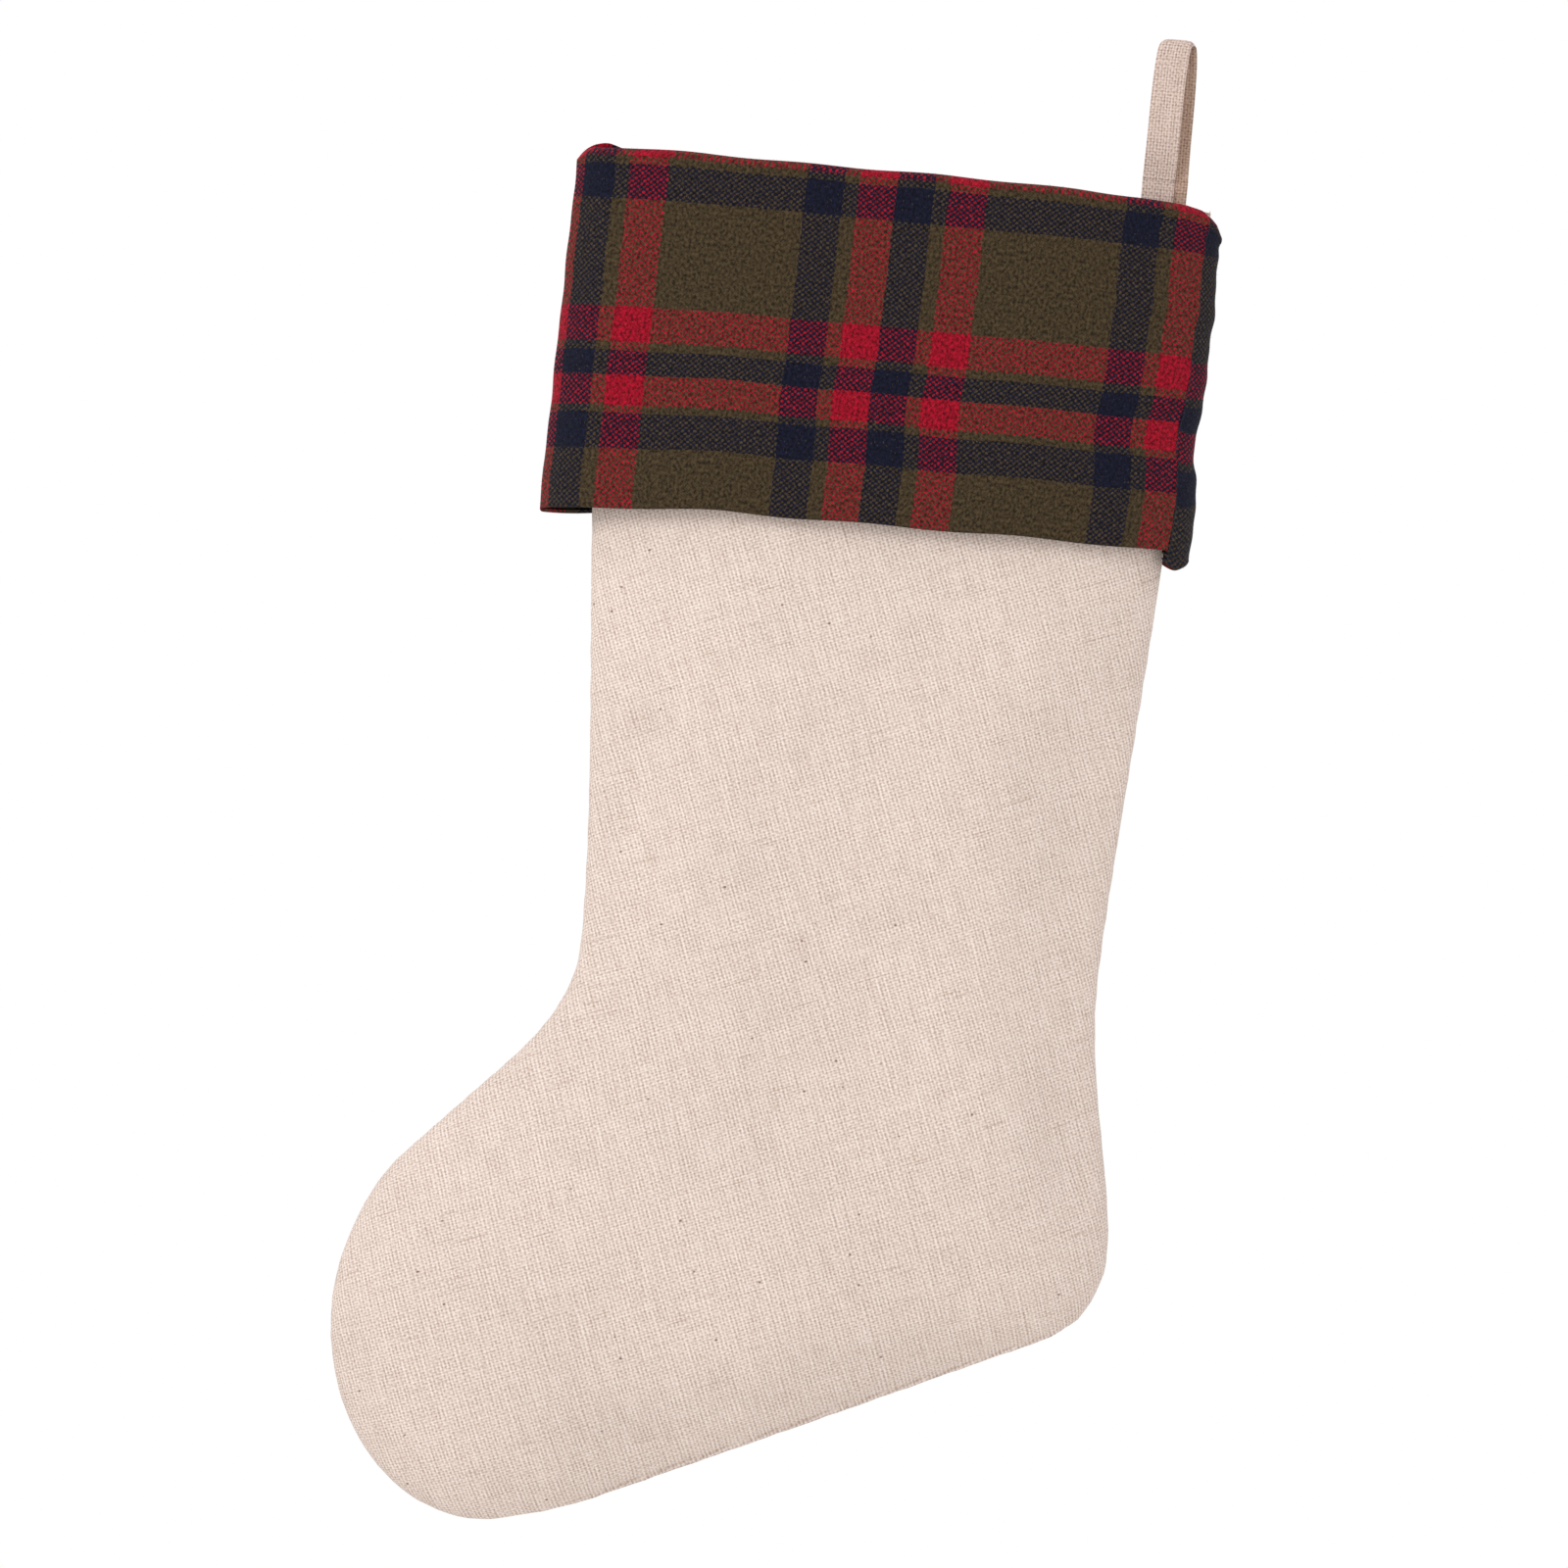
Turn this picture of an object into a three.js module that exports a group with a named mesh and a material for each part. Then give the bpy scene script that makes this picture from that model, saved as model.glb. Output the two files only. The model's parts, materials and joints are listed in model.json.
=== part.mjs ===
// A hanging Christmas stocking: a padded linen leg and foot, lined, with a wide plaid cuff turned
// down over the mouth and a linen tape loop sewn in at the heel-side corner.
//
// Millimetres, +Z up, the front faces -Y and the toe points to -X. The origin is the inside of the
// top of the loop, where the hook holds it. Everything is drawn upright first, and the whole group
// is then turned by HANG_TILT, the lean that the stocking hangs with.
//
// Each panel is a crowned sheet. Its cut edge follows the pattern's outline in the XZ plane, and it
// rises from the side seam over a rolled edge to a flatter middle. The layers of a wall (linen,
// wadding, lining) are the same sheet, stepped inwards by the thicknesses that lie over it.

import * as THREE from "three";

// ---- Overall sizes -------------------------------------------------------------------------
const LOOP_DROP = 57; // inside of the loop's top down to the cuff's fold
const MOUTH_WIDTH = 225; // leg's width at the mouth
const HEM_LEG_WIDTH = 211.5; // leg's width where it leaves the cuff
const ANKLE_WIDTH = 191; // leg's least width
const ANKLE_DROP = 291; // cuff's fold down to the least width
const HEEL_BELOW_ANKLE = 98; // least width down to the hindmost point of the heel
const FOOT_LENGTH = 283; // hindmost point of the heel to the foremost point of the toe
const TOE_BELOW_HEEL = 44; // hindmost point of the heel down to the foremost point of the toe
const FRONT_DEPTH = 20; // seam plane out to the front of the leg
const BACK_DEPTH = 14; // seam plane out to the back of the leg, which lies flatter on the wall
const HANG_TILT = THREE.MathUtils.degToRad(5.4); // lean of the stocking, top towards +X

// ---- Pattern of the leg and foot -----------------------------------------------------------
const HEM_SET_IN = 5.6; // heel-side edge of the leg, in from the mouth's corner at the cuff's hem
const ANKLE_SET_IN = 15; // ankle's back edge, in from the mouth's corner
const HEEL_REACH = 13; // heel, out from the ankle's back edge
const HEEL_ROUND = { back: 20, up: 35 }; // from the end of the sole to the hindmost point
const INSTEP_BEND = { out: 25, down: 50 }; // from the ankle's front to the instep's straight
const TOE_TOP = { back: 21, up: 57 }; // from the foremost point to the end of the instep
const TOE_BALL = { back: 62, down: 75 }; // from the foremost point to the lowest point
const SOLE_LIFT = { back: 45, up: 12.5 }; // from the lowest point to the sole's straight
// How strongly the edge keeps its direction either side of each point where it bends.
const HEM_CURVE = { toeSide: 45, heelSide: 50 };
const ANKLE_CURVE = { toeAbove: 50, toeBelow: 22, heelAbove: 30, heelBelow: 37 };
const INSTEP_CURVE = { ankle: 18, toe: 17 };
const HEEL_CURVE = { above: 25, below: 16 };
const SOLE_CURVE = { heel: 10, ball: 16 };
const BALL_CURVE = { heel: 12, toe: 37 };
const TOE_CURVE = { above: 20, below: 40 };

// ---- Cloths --------------------------------------------------------------------------------
const LINEN = 0.9; // outer linen canvas
const WADDING = 3; // loft of the wadding
const LINING = 0.6; // cotton lining
const CUFF_CLOTH = 1.2; // plaid wool flannel
const FACING_CLOTH = 0.8; // inner layer of the double cuff
const LAYER_GAP = 0.3; // air between neighbouring layers
const FRONT_ROLL = 80; // width over which a front panel rises from its seam
const BACK_ROLL = 60; // the same on a back panel
const SEAM_GAP = 0.7; // a panel's sewn edge, out from the seam plane

// ---- Cuff ----------------------------------------------------------------------------------
const CUFF_HEIGHT = 129.5; // fold down to the hem
const CUFF_OVERHANG = { toe: 9.5, heel: 4.5 }; // cuff, out from the leg's edges at the mouth
const CUFF_FLARE = 2; // toe-side edge of the cuff, further out at the hem
const CUFF_STAND_OFF = 3; // front of the cuff, further out at the hem
const CUFF_EASE = 0.6; // slack between the leg and the cuff's layers
const TURN_IN = 24; // plaid turned down inside the mouth
const MOUTH_EASE = 1.2; // slack between the lining and the plaid turned in over it
const FOLD_SHOULDER = 3; // height over which the plaid turns across the fold
const FACING_SET_UP = 2; // facing's lower edge, up from the cuff's hem

// ---- Loop ----------------------------------------------------------------------------------
const TAPE_WIDTH = 12;
const TAPE_THICK = 1.3;
const LOOP_HALF_GAP = 5.25; // loop's middle to the middle of one leg's tape, where it is widest
const LEG_STAGGER = 2.4; // front leg is sewn this far towards the toe, the rear leg towards the heel
const LOOP_FORWARD = 2.3; // seam plane out to the loop, so that the stocking hangs plumb
const TWIST_DROP = 30; // loop's top down to the level where the tape twists
const TWIST_GAP = 1.6; // clearance between the eye and the legs there
const SWING_ABOVE_FOLD = 3; // height of the line that the tape bends along, over the cuff's fold
const SWING_CLEARANCE = { above: 1.5, below: 2 }; // from that line to the tape on either side
const SEWN_LENGTH = 26; // tape inside the mouth
const CORNER_CLEARANCE = 2.1; // sewn end to the plaid in the corner of the mouth
const TACK = { length: 11, height: 2, thick: 0.6, down: 16 }; // bar tack across the sewn end
const EYE_ROUND = { out: 0.86, down: 0.45 }; // share of the half gap, and of the drop to the twist
const LEG_BEND = { apart: 0.45, together: 0.62 }; // shares of a leg's length, from the twist down

// ---- Threads -------------------------------------------------------------------------------
const THREAD_RADIUS = 0.4;
const LINING_THREAD_RADIUS = 0.25;
const SIDE_THREAD_STOPS = { belowFold: 5, aboveHem: 3 }; // ends of the cuff's side seam threads

// ---- Fineness ------------------------------------------------------------------------------
const PANEL_COLUMNS = 12;
const PANEL_ROWS = 27;
const TOE_CLOSE = 0.996; // share of each edge's length at which the last row closes the toe
const CUFF_COLUMNS = 18;
const CUFF_ROWS = 5;
const FOLD_SHARES = [0.12, 0.35, 0.65, 0.88]; // rows over the fold, from outside to inside
const MOUTH_THREAD_SKIP = 2; // columns at each corner of the mouth left without thread
const TAPE_STEPS = 10;
const TACK_STEPS = 5;
const THREAD_SIDES = 6;

// ---- Places worked out from the sizes ------------------------------------------------------
const FOLD_Z = -LOOP_DROP;
const HEM_Z = FOLD_Z - CUFF_HEIGHT;
const LEG_TOP_Z = FOLD_Z - FOLD_SHOULDER;
const WALL = LINEN + WADDING + LINING + 2 * LAYER_GAP;
const MOUTH_WALL = WALL + MOUTH_EASE + CUFF_CLOTH; // leg's outermost face in to the mouth
const LOOP_TO_MOUTH_CORNER = MOUTH_WALL + CORNER_CLEARANCE + LEG_STAGGER + TAPE_WIDTH / 2;
const FRONT = { side: -1, depth: FRONT_DEPTH, roll: FRONT_ROLL, standOff: CUFF_STAND_OFF };
const BACK = { side: 1, depth: BACK_DEPTH, roll: BACK_ROLL, standOff: 0 };

const v2 = (x, z) => new THREE.Vector2(x, z);

/** The leg's sewn edge in the XZ plane: the toe side down to the toe, and the heel side down to it. */
function patternEdges() {
  const mouthHeel = v2(LOOP_TO_MOUTH_CORNER, LEG_TOP_Z);
  const mouthToe = v2(mouthHeel.x - MOUTH_WIDTH, LEG_TOP_Z);
  const ankleHeel = v2(mouthHeel.x - ANKLE_SET_IN, FOLD_Z - ANKLE_DROP);
  const ankleToe = v2(ankleHeel.x - ANKLE_WIDTH, ankleHeel.y);
  const hemHeel = v2(mouthHeel.x - HEM_SET_IN, HEM_Z);
  const hemToe = v2(hemHeel.x - HEM_LEG_WIDTH, HEM_Z);
  const heel = v2(ankleHeel.x + HEEL_REACH, ankleHeel.y - HEEL_BELOW_ANKLE);
  const soleEnd = v2(heel.x - HEEL_ROUND.back, heel.y - HEEL_ROUND.up);
  const toe = v2(heel.x - FOOT_LENGTH, heel.y - TOE_BELOW_HEEL);
  const instep = v2(ankleToe.x - INSTEP_BEND.out, ankleToe.y - INSTEP_BEND.down);
  const toeTop = v2(toe.x + TOE_TOP.back, toe.y + TOE_TOP.up);
  const ball = v2(toe.x + TOE_BALL.back, toe.y - TOE_BALL.down);
  const soleStart = v2(ball.x + SOLE_LIFT.back, ball.y + SOLE_LIFT.up);
  const alongInstep = toeTop.clone().sub(instep).normalize();
  const alongToeEdge = hemToe.clone().sub(mouthToe).normalize();
  const alongHeelEdge = hemHeel.clone().sub(mouthHeel).normalize();
  const down = v2(0, -1);
  const toToe = v2(-1, 0);
  const line = (a, b) => new THREE.LineCurve(a, b);
  // A curve that leaves a along one direction and reaches b along another.
  const bend = (a, leaving, strengthA, b, reaching, strengthB) =>
    new THREE.CubicBezierCurve(
      a,
      a.clone().addScaledVector(leaving, strengthA),
      b.clone().addScaledVector(reaching, -strengthB),
      b,
    );

  const toeSide = new THREE.CurvePath();
  toeSide.curves.push(
    line(mouthToe, hemToe),
    bend(hemToe, alongToeEdge, HEM_CURVE.toeSide, ankleToe, down, ANKLE_CURVE.toeAbove),
    bend(ankleToe, down, ANKLE_CURVE.toeBelow, instep, alongInstep, INSTEP_CURVE.ankle),
    line(instep, toeTop),
    bend(toeTop, alongInstep, INSTEP_CURVE.toe, toe, down, TOE_CURVE.above),
  );

  const up = v2(0, 1);
  const alongSole = soleStart.clone().sub(soleEnd).normalize();
  const heelSide = new THREE.CurvePath();
  heelSide.curves.push(
    line(mouthHeel, hemHeel),
    bend(hemHeel, alongHeelEdge, HEM_CURVE.heelSide, ankleHeel, down, ANKLE_CURVE.heelAbove),
    bend(ankleHeel, down, ANKLE_CURVE.heelBelow, heel, down, HEEL_CURVE.above),
    bend(heel, down, HEEL_CURVE.below, soleEnd, alongSole, SOLE_CURVE.heel),
    line(soleEnd, soleStart),
    bend(soleStart, alongSole, SOLE_CURVE.ball, ball, toToe, BALL_CURVE.heel),
    bend(ball, toToe, BALL_CURVE.toe, toe, up, TOE_CURVE.below),
  );
  return { toeSide, heelSide };
}

/** Points along one edge, evenly spaced, each stepped `inset` towards the inside of the pattern. */
function edgePoints(path, inset, inwardTurn) {
  const points = [];
  for (let i = 0; i <= PANEL_ROWS; i++) {
    const s = (i / PANEL_ROWS) * TOE_CLOSE;
    const tangent = path.getTangentAt(s);
    const inward = v2(-tangent.y, tangent.x).multiplyScalar(inwardTurn);
    // The mouth stays level, so its two corners are stepped along it.
    const step = i === 0 ? v2(1 / inward.x, 0) : inward;
    points.push(path.getPointAt(s).addScaledVector(step, inset));
  }
  return points;
}

const { toeSide, heelSide } = patternEdges();

/** The pattern's two edges stepped inwards, row by row from the mouth to the toe. */
const pattern = (inset) => ({
  left: edgePoints(toeSide, inset, 1),
  right: edgePoints(heelSide, inset, -1),
});

/** Distance from p to the segment from a to b. */
function segmentDistance(p, a, b) {
  const along = b.clone().sub(a);
  const share = THREE.MathUtils.clamp(p.clone().sub(a).dot(along) / along.lengthSq(), 0, 1);
  return p.distanceTo(a.clone().addScaledVector(along, share));
}

/** Distance from p to the nearest sewn edge; the mouth isn't sewn, so it doesn't count. */
function seamDistance(p, edges) {
  const seam = [...edges.left, ...edges.right.slice().reverse()];
  let least = Infinity;
  for (let i = 0; i + 1 < seam.length; i++)
    least = Math.min(least, segmentDistance(p, seam[i], seam[i + 1]));
  return least;
}

/** Share of a panel's full depth reached at a distance from its seam: a quarter ellipse, then flat. */
const rise = (distance, roll) => Math.sqrt(1 - (1 - THREE.MathUtils.clamp(distance / roll, 0, 1)) ** 2);

/** A panel's distance from the seam plane, on the given side, where it is `distance` from its seam. */
const crown = (half, depth, distance) =>
  half.side * (SEAM_GAP + (depth - SEAM_GAP) * rise(distance, half.roll));

/** Shares across a panel, closer together near both edges. */
const across = (columns) =>
  Array.from({ length: columns + 1 }, (_, j) => (1 - Math.cos((Math.PI * j) / columns)) / 2);

/** A closed geometry from vertices and triangles, with its faces turned outwards. */
function closedGeometry(vertices, triangles) {
  let volume = 0;
  for (const [a, b, c] of triangles)
    volume += vertices[a].dot(vertices[b].clone().cross(vertices[c]));
  const turned = volume < 0 ? triangles.map(([a, b, c]) => [a, c, b]) : triangles;
  const geometry = new THREE.BufferGeometry().setFromPoints(vertices);
  geometry.setIndex(turned.flat());
  geometry.computeVertexNormals();
  return geometry;
}

/** A sheet of cloth between two faces, each a list of rows of points, closed along its four edges. */
function sheet(outer, inner) {
  const rows = outer.length;
  const columns = outer[0].length;
  const triangles = [];
  const quad = (a, b, c, d) => triangles.push([a, b, c], [a, c, d]);
  const out = (i, j) => i * columns + j;
  const back = (i, j) => (rows + i) * columns + j;
  for (let i = 0; i + 1 < rows; i++) {
    for (let j = 0; j + 1 < columns; j++) {
      quad(out(i, j), out(i + 1, j), out(i + 1, j + 1), out(i, j + 1));
      quad(back(i, j), back(i, j + 1), back(i + 1, j + 1), back(i + 1, j));
    }
    const j = columns - 1;
    quad(out(i + 1, 0), out(i, 0), back(i, 0), back(i + 1, 0));
    quad(out(i, j), out(i + 1, j), back(i + 1, j), back(i, j));
  }
  for (let j = 0; j + 1 < columns; j++) {
    const i = rows - 1;
    quad(out(0, j), out(0, j + 1), back(0, j + 1), back(0, j));
    quad(out(i, j + 1), out(i, j), back(i, j), back(i, j + 1));
  }
  return closedGeometry([...outer.flat(), ...inner.flat()], triangles);
}

/** One face of a leg panel, `inset` inside the outermost face. */
function panelFace(half, inset) {
  const edges = pattern(inset);
  return edges.left.map((left, i) =>
    across(PANEL_COLUMNS).map((u) => {
      const p = left.clone().lerp(edges.right[i], u);
      return new THREE.Vector3(p.x, crown(half, half.depth - inset, seamDistance(p, edges)), p.y);
    }),
  );
}

/** A leg panel: the sheet of cloth `thick` that starts `inset` inside the outermost face. */
const legPanel = (half, inset, thick) =>
  sheet(panelFace(half, inset), panelFace(half, inset + thick));

/** The cuff's side edges at a height, `inset` inside its outermost face. */
function cuffEdges(z, inset) {
  const down = (FOLD_Z - z) / CUFF_HEIGHT;
  return {
    left: toeSide.getPoint(0).x - CUFF_OVERHANG.toe - CUFF_FLARE * down + inset,
    right: LOOP_TO_MOUTH_CORNER + CUFF_OVERHANG.heel - inset,
  };
}

/** The depth of the cuff's outermost face at a height. */
function cuffDepth(half, z) {
  const layers = CUFF_EASE + FACING_CLOTH + LAYER_GAP + CUFF_CLOTH;
  return half.depth + layers + half.standOff * ((FOLD_Z - z) / CUFF_HEIGHT);
}

/** A row of points across the cuff at a height, `inset` inside its outermost face. */
function cuffRow(half, z, inset) {
  const { left, right } = cuffEdges(z, inset);
  return across(CUFF_COLUMNS).map((u) => {
    const x = THREE.MathUtils.lerp(left, right, u);
    const away = Math.min(x - left, right - x);
    return new THREE.Vector3(x, crown(half, cuffDepth(half, z) - inset, away), z);
  });
}

/** Where an edge of the pattern passes a height. */
function edgeAt(edge, z) {
  const i = edge.findIndex((p) => p.y <= z);
  if (i < 1) return edge[0].x;
  const share = (edge[i - 1].y - z) / (edge[i - 1].y - edge[i].y);
  return THREE.MathUtils.lerp(edge[i - 1].x, edge[i].x, share);
}

/** A row of points across the mouth at a height, on the leg's own face stepped in by `inset`. */
function mouthRow(half, z, inset) {
  const edges = pattern(inset);
  const [left, right] = [edgeAt(edges.left, z), edgeAt(edges.right, z)];
  return across(CUFF_COLUMNS).map((u) => {
    const p = v2(THREE.MathUtils.lerp(left, right, u), z);
    return new THREE.Vector3(p.x, crown(half, half.depth - inset, seamDistance(p, edges)), z);
  });
}

/** Heights from one to another in equal steps. */
const heights = (from, to, steps) =>
  Array.from({ length: steps + 1 }, (_, i) => THREE.MathUtils.lerp(from, to, i / steps));

/** One face of the plaid: up from the hem, over the fold and down inside the mouth. */
function plaidFace(half, inset) {
  const flapTop = FOLD_Z - FOLD_SHOULDER;
  const flap = heights(HEM_Z, flapTop, CUFF_ROWS).map((z) => cuffRow(half, z, inset));
  const turnedIn = [flapTop, FOLD_Z - TURN_IN].map((z) => mouthRow(half, z, MOUTH_WALL - inset));
  const fold = FOLD_SHARES.map((share) => {
    const z = FOLD_Z - inset - (FOLD_SHOULDER - inset) * (2 * share - 1) ** 4;
    return flap.at(-1).map((p, j) => p.clone().lerp(turnedIn[0][j], share).setZ(z));
  });
  return [...flap, ...fold, ...turnedIn];
}

/** The plaid of one half of the cuff. */
const cuffHalf = (half) => sheet(plaidFace(half, 0), plaidFace(half, CUFF_CLOTH));

/** The second layer of the double cuff, between the plaid and the leg. */
function facingHalf(half) {
  const levels = heights(HEM_Z + FACING_SET_UP, FOLD_Z - FOLD_SHOULDER, CUFF_ROWS);
  const face = (inset) => levels.map((z) => cuffRow(half, z, inset));
  const outer = CUFF_CLOTH + LAYER_GAP;
  return sheet(face(outer), face(outer + FACING_CLOTH));
}

/** A thread along a curve, with a six-sided section. */
function thread(curve, radius, steps) {
  const corner = (k) => {
    const angle = (2 * Math.PI * k) / THREAD_SIDES;
    return v2(radius * Math.cos(angle), radius * Math.sin(angle));
  };
  const section = new THREE.Shape(Array.from({ length: THREAD_SIDES }, (_, k) => corner(k)));
  return new THREE.ExtrudeGeometry(section, { extrudePath: curve, steps, bevelEnabled: false });
}

/** The seam thread that joins the front and back panels of one layer round the leg and foot. */
function outlineThread(inset, radius) {
  const edges = pattern(inset);
  const route = [...edges.left, ...edges.right.slice().reverse()];
  const points = route.map((p) => new THREE.Vector3(p.x, 0, p.y));
  return thread(new THREE.CatmullRomCurve3(points), radius, 2 * PANEL_ROWS);
}

/** The seam thread down one side of the cuff, between its front and back halves. */
function cuffSideThread(edge, turn) {
  const levels = [FOLD_Z - SIDE_THREAD_STOPS.belowFold, HEM_Z + SIDE_THREAD_STOPS.aboveHem];
  const ends = levels.map((z) => {
    const x = cuffEdges(z, 0)[edge] + (turn * CUFF_CLOTH) / 2;
    return new THREE.Vector3(x, 0, z);
  });
  return thread(new THREE.LineCurve3(...ends), THREAD_RADIUS, 1);
}

/** The thread that holds one half of the cuff's turned-in edge to the lining. */
function mouthThread(half) {
  const z = FOLD_Z - TURN_IN - LAYER_GAP - LINING_THREAD_RADIUS;
  const row = mouthRow(half, z, MOUTH_WALL - CUFF_CLOTH / 2);
  const route = new THREE.CatmullRomCurve3(row.slice(MOUTH_THREAD_SKIP, -MOUTH_THREAD_SKIP));
  return thread(route, LINING_THREAD_RADIUS, 2 * CUFF_COLUMNS);
}

/** A strip of tape whose middle line runs through the given YZ points, TAPE_WIDTH wide along X. */
function tapeStrip(middle) {
  const offset = (p, i, side) => {
    const before = middle[Math.max(i - 1, 0)];
    const after = middle[Math.min(i + 1, middle.length - 1)];
    const along = after.clone().sub(before).normalize();
    return p.clone().addScaledVector(v2(-along.y, along.x), (side * TAPE_THICK) / 2);
  };
  const outline = [
    ...middle.map((p, i) => offset(p, i, 1)),
    ...middle.map((p, i) => offset(p, i, -1)).reverse(),
  ];
  const geometry = new THREE.ExtrudeGeometry(new THREE.Shape(outline), {
    depth: TAPE_WIDTH,
    bevelEnabled: false,
  });
  // The shape's own X and Y become Y and Z, and the extrusion runs along X.
  const turn = new THREE.Matrix4().makeBasis(
    new THREE.Vector3(0, 1, 0),
    new THREE.Vector3(0, 0, 1),
    new THREE.Vector3(1, 0, 0),
  );
  return geometry.applyMatrix4(turn).translate(-TAPE_WIDTH / 2, 0, 0);
}

/** The eye: the tape over the top of the loop, which the hook holds. */
function loopEye() {
  const top = v2(0, TAPE_THICK / 2);
  const rear = new THREE.CubicBezierCurve(
    top,
    v2(LOOP_HALF_GAP * EYE_ROUND.out, top.y),
    v2(LOOP_HALF_GAP, -TWIST_DROP * EYE_ROUND.down),
    v2(LOOP_HALF_GAP, -TWIST_DROP + TWIST_GAP),
  ).getPoints(TAPE_STEPS);
  rear.push(v2(LOOP_HALF_GAP, -TWIST_DROP + TWIST_GAP / 2));
  const front = rear.slice(1).map((p) => v2(-p.x, p.y));
  const eye = tapeStrip([...front.reverse(), ...rear]);
  // The fold at the top is slanted, which carries the two legs apart along the rim.
  return eye.applyMatrix4(new THREE.Matrix4().makeShear(0, 0, LEG_STAGGER / LOOP_HALF_GAP, 0, 0, 0));
}

/** One leg of the loop, from the twist down to the line where the tape bends over the rim. */
function loopLeg(side) {
  const foot = FOLD_Z + SWING_ABOVE_FOLD + SWING_CLEARANCE.above;
  const together = TAPE_THICK / 2 + LAYER_GAP;
  const start = -TWIST_DROP - TWIST_GAP / 2;
  const middle = new THREE.CubicBezierCurve(
    v2(LOOP_HALF_GAP, start),
    v2(LOOP_HALF_GAP, THREE.MathUtils.lerp(start, foot, LEG_BEND.apart)),
    v2(together, THREE.MathUtils.lerp(start, foot, LEG_BEND.together)),
    v2(together, foot),
  ).getPoints(TAPE_STEPS);
  const strip = tapeStrip(middle.map((p) => v2(side * p.x, p.y)));
  return strip.translate(side * LEG_STAGGER, 0, 0);
}

/** Both ends of the tape, one on the other and staggered, where they are sewn inside the mouth. */
function loopSewnEnd() {
  const [half, step, thick] = [TAPE_WIDTH / 2, LEG_STAGGER, TAPE_THICK];
  const section = new THREE.Shape([
    v2(-half - step, -thick), v2(half - step, -thick), v2(half - step, 0), v2(half + step, 0),
    v2(half + step, thick), v2(step - half, thick), v2(step - half, 0), v2(-half - step, 0),
  ]);
  const top = FOLD_Z + SWING_ABOVE_FOLD - SWING_CLEARANCE.below;
  return new THREE.ExtrudeGeometry(section, { depth: SEWN_LENGTH, bevelEnabled: false })
    .translate(0, 0, top - SEWN_LENGTH);
}

/** The bar tack: a dense bar of stitches across the front of the sewn end. */
function loopBarTack() {
  const bar = new THREE.Shape().absarc(0, 0, TACK.height / 2, Math.PI / 2, -Math.PI / 2);
  bar.absarc(TACK.length - TACK.height, 0, TACK.height / 2, -Math.PI / 2, Math.PI / 2);
  const flat = new THREE.ExtrudeGeometry(bar, {
    depth: TACK.thick,
    curveSegments: TACK_STEPS,
    bevelEnabled: false,
  });
  return flat
    .rotateX(Math.PI / 2)
    .translate(
      -LEG_STAGGER - (TACK.length - TACK.height) / 2,
      -TAPE_THICK - LAYER_GAP,
      FOLD_Z - TACK.down,
    );
}

const stocking = new THREE.Group();
stocking.rotation.y = HANG_TILT;

const loop = new THREE.Group();
const cloth = new THREE.Group();
cloth.position.y = LOOP_FORWARD;
stocking.add(loop, cloth);

/** Adds a named piece, with its own material, to a group. */
function add(group, name, geometry, color, roughness) {
  const material = new THREE.MeshStandardMaterial({ color, roughness, metalness: 0 });
  const mesh = new THREE.Mesh(geometry, material);
  mesh.name = name;
  group.add(mesh);
  return mesh;
}

const LINEN_COLOR = "#e0cfc3";
const TAPE_COLOR = "#c8b0a5";
const PLAID_COLOR = "#4b3028";
const FACING_COLOR = "#2b2a34";
const WADDING_COLOR = "#f4f1ea";
const LINING_COLOR = "#efe7da";
const THREAD_COLOR = "#d9c7b8";
const DARK_THREAD_COLOR = "#2a1f22";

for (const [name, half] of [["front", FRONT], ["back", BACK]]) {
  const wadding = LINEN + LAYER_GAP;
  const lining = wadding + WADDING + LAYER_GAP;
  add(cloth, `outer_${name}`, legPanel(half, 0, LINEN), LINEN_COLOR, 0.9);
  add(cloth, `wadding_${name}`, legPanel(half, wadding, WADDING), WADDING_COLOR, 1);
  add(cloth, `lining_${name}`, legPanel(half, lining, LINING), LINING_COLOR, 0.85);
  add(cloth, `cuff_${name}`, cuffHalf(half), PLAID_COLOR, 0.95);
  add(cloth, `cuff_facing_${name}`, facingHalf(half), FACING_COLOR, 0.95);
  add(cloth, `mouth_seam_thread_${name}`, mouthThread(half), DARK_THREAD_COLOR, 0.7);
}

const bodySeam = outlineThread(LINEN / 2, THREAD_RADIUS);
add(cloth, "body_seam_thread", bodySeam, THREAD_COLOR, 0.7);
const liningSeam = outlineThread(WALL - LINING / 2, LINING_THREAD_RADIUS);
add(cloth, "lining_seam_thread", liningSeam, THREAD_COLOR, 0.7);
add(cloth, "cuff_seam_thread_toe_side", cuffSideThread("left", 1), DARK_THREAD_COLOR, 0.7);
add(cloth, "cuff_seam_thread_heel_side", cuffSideThread("right", -1), DARK_THREAD_COLOR, 0.7);

add(loop, "loop_tape_eye", loopEye(), TAPE_COLOR, 0.9);
add(loop, "loop_tape_front_leg", loopLeg(-1), TAPE_COLOR, 0.9);
add(loop, "loop_tape_rear_leg", loopLeg(1), TAPE_COLOR, 0.9);
add(loop, "loop_tape_sewn_end", loopSewnEnd(), TAPE_COLOR, 0.9);
add(loop, "loop_bar_tack", loopBarTack(), THREAD_COLOR, 0.7);

export default stocking;
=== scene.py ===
"""The looks of a hanging Christmas stocking: a padded linen leg and foot with a plaid wool cuff.

Sizes are in millimetres and in the upright position of the stocking, with the top of the loop at
the origin, X towards the heel side, Y towards the wall and Z up. `hung` leans a shape the way the
stocking hangs and turns it into metres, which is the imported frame's own space.
"""

import json
import logging
import math
from dataclasses import dataclass, field
from enum import Enum

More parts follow.
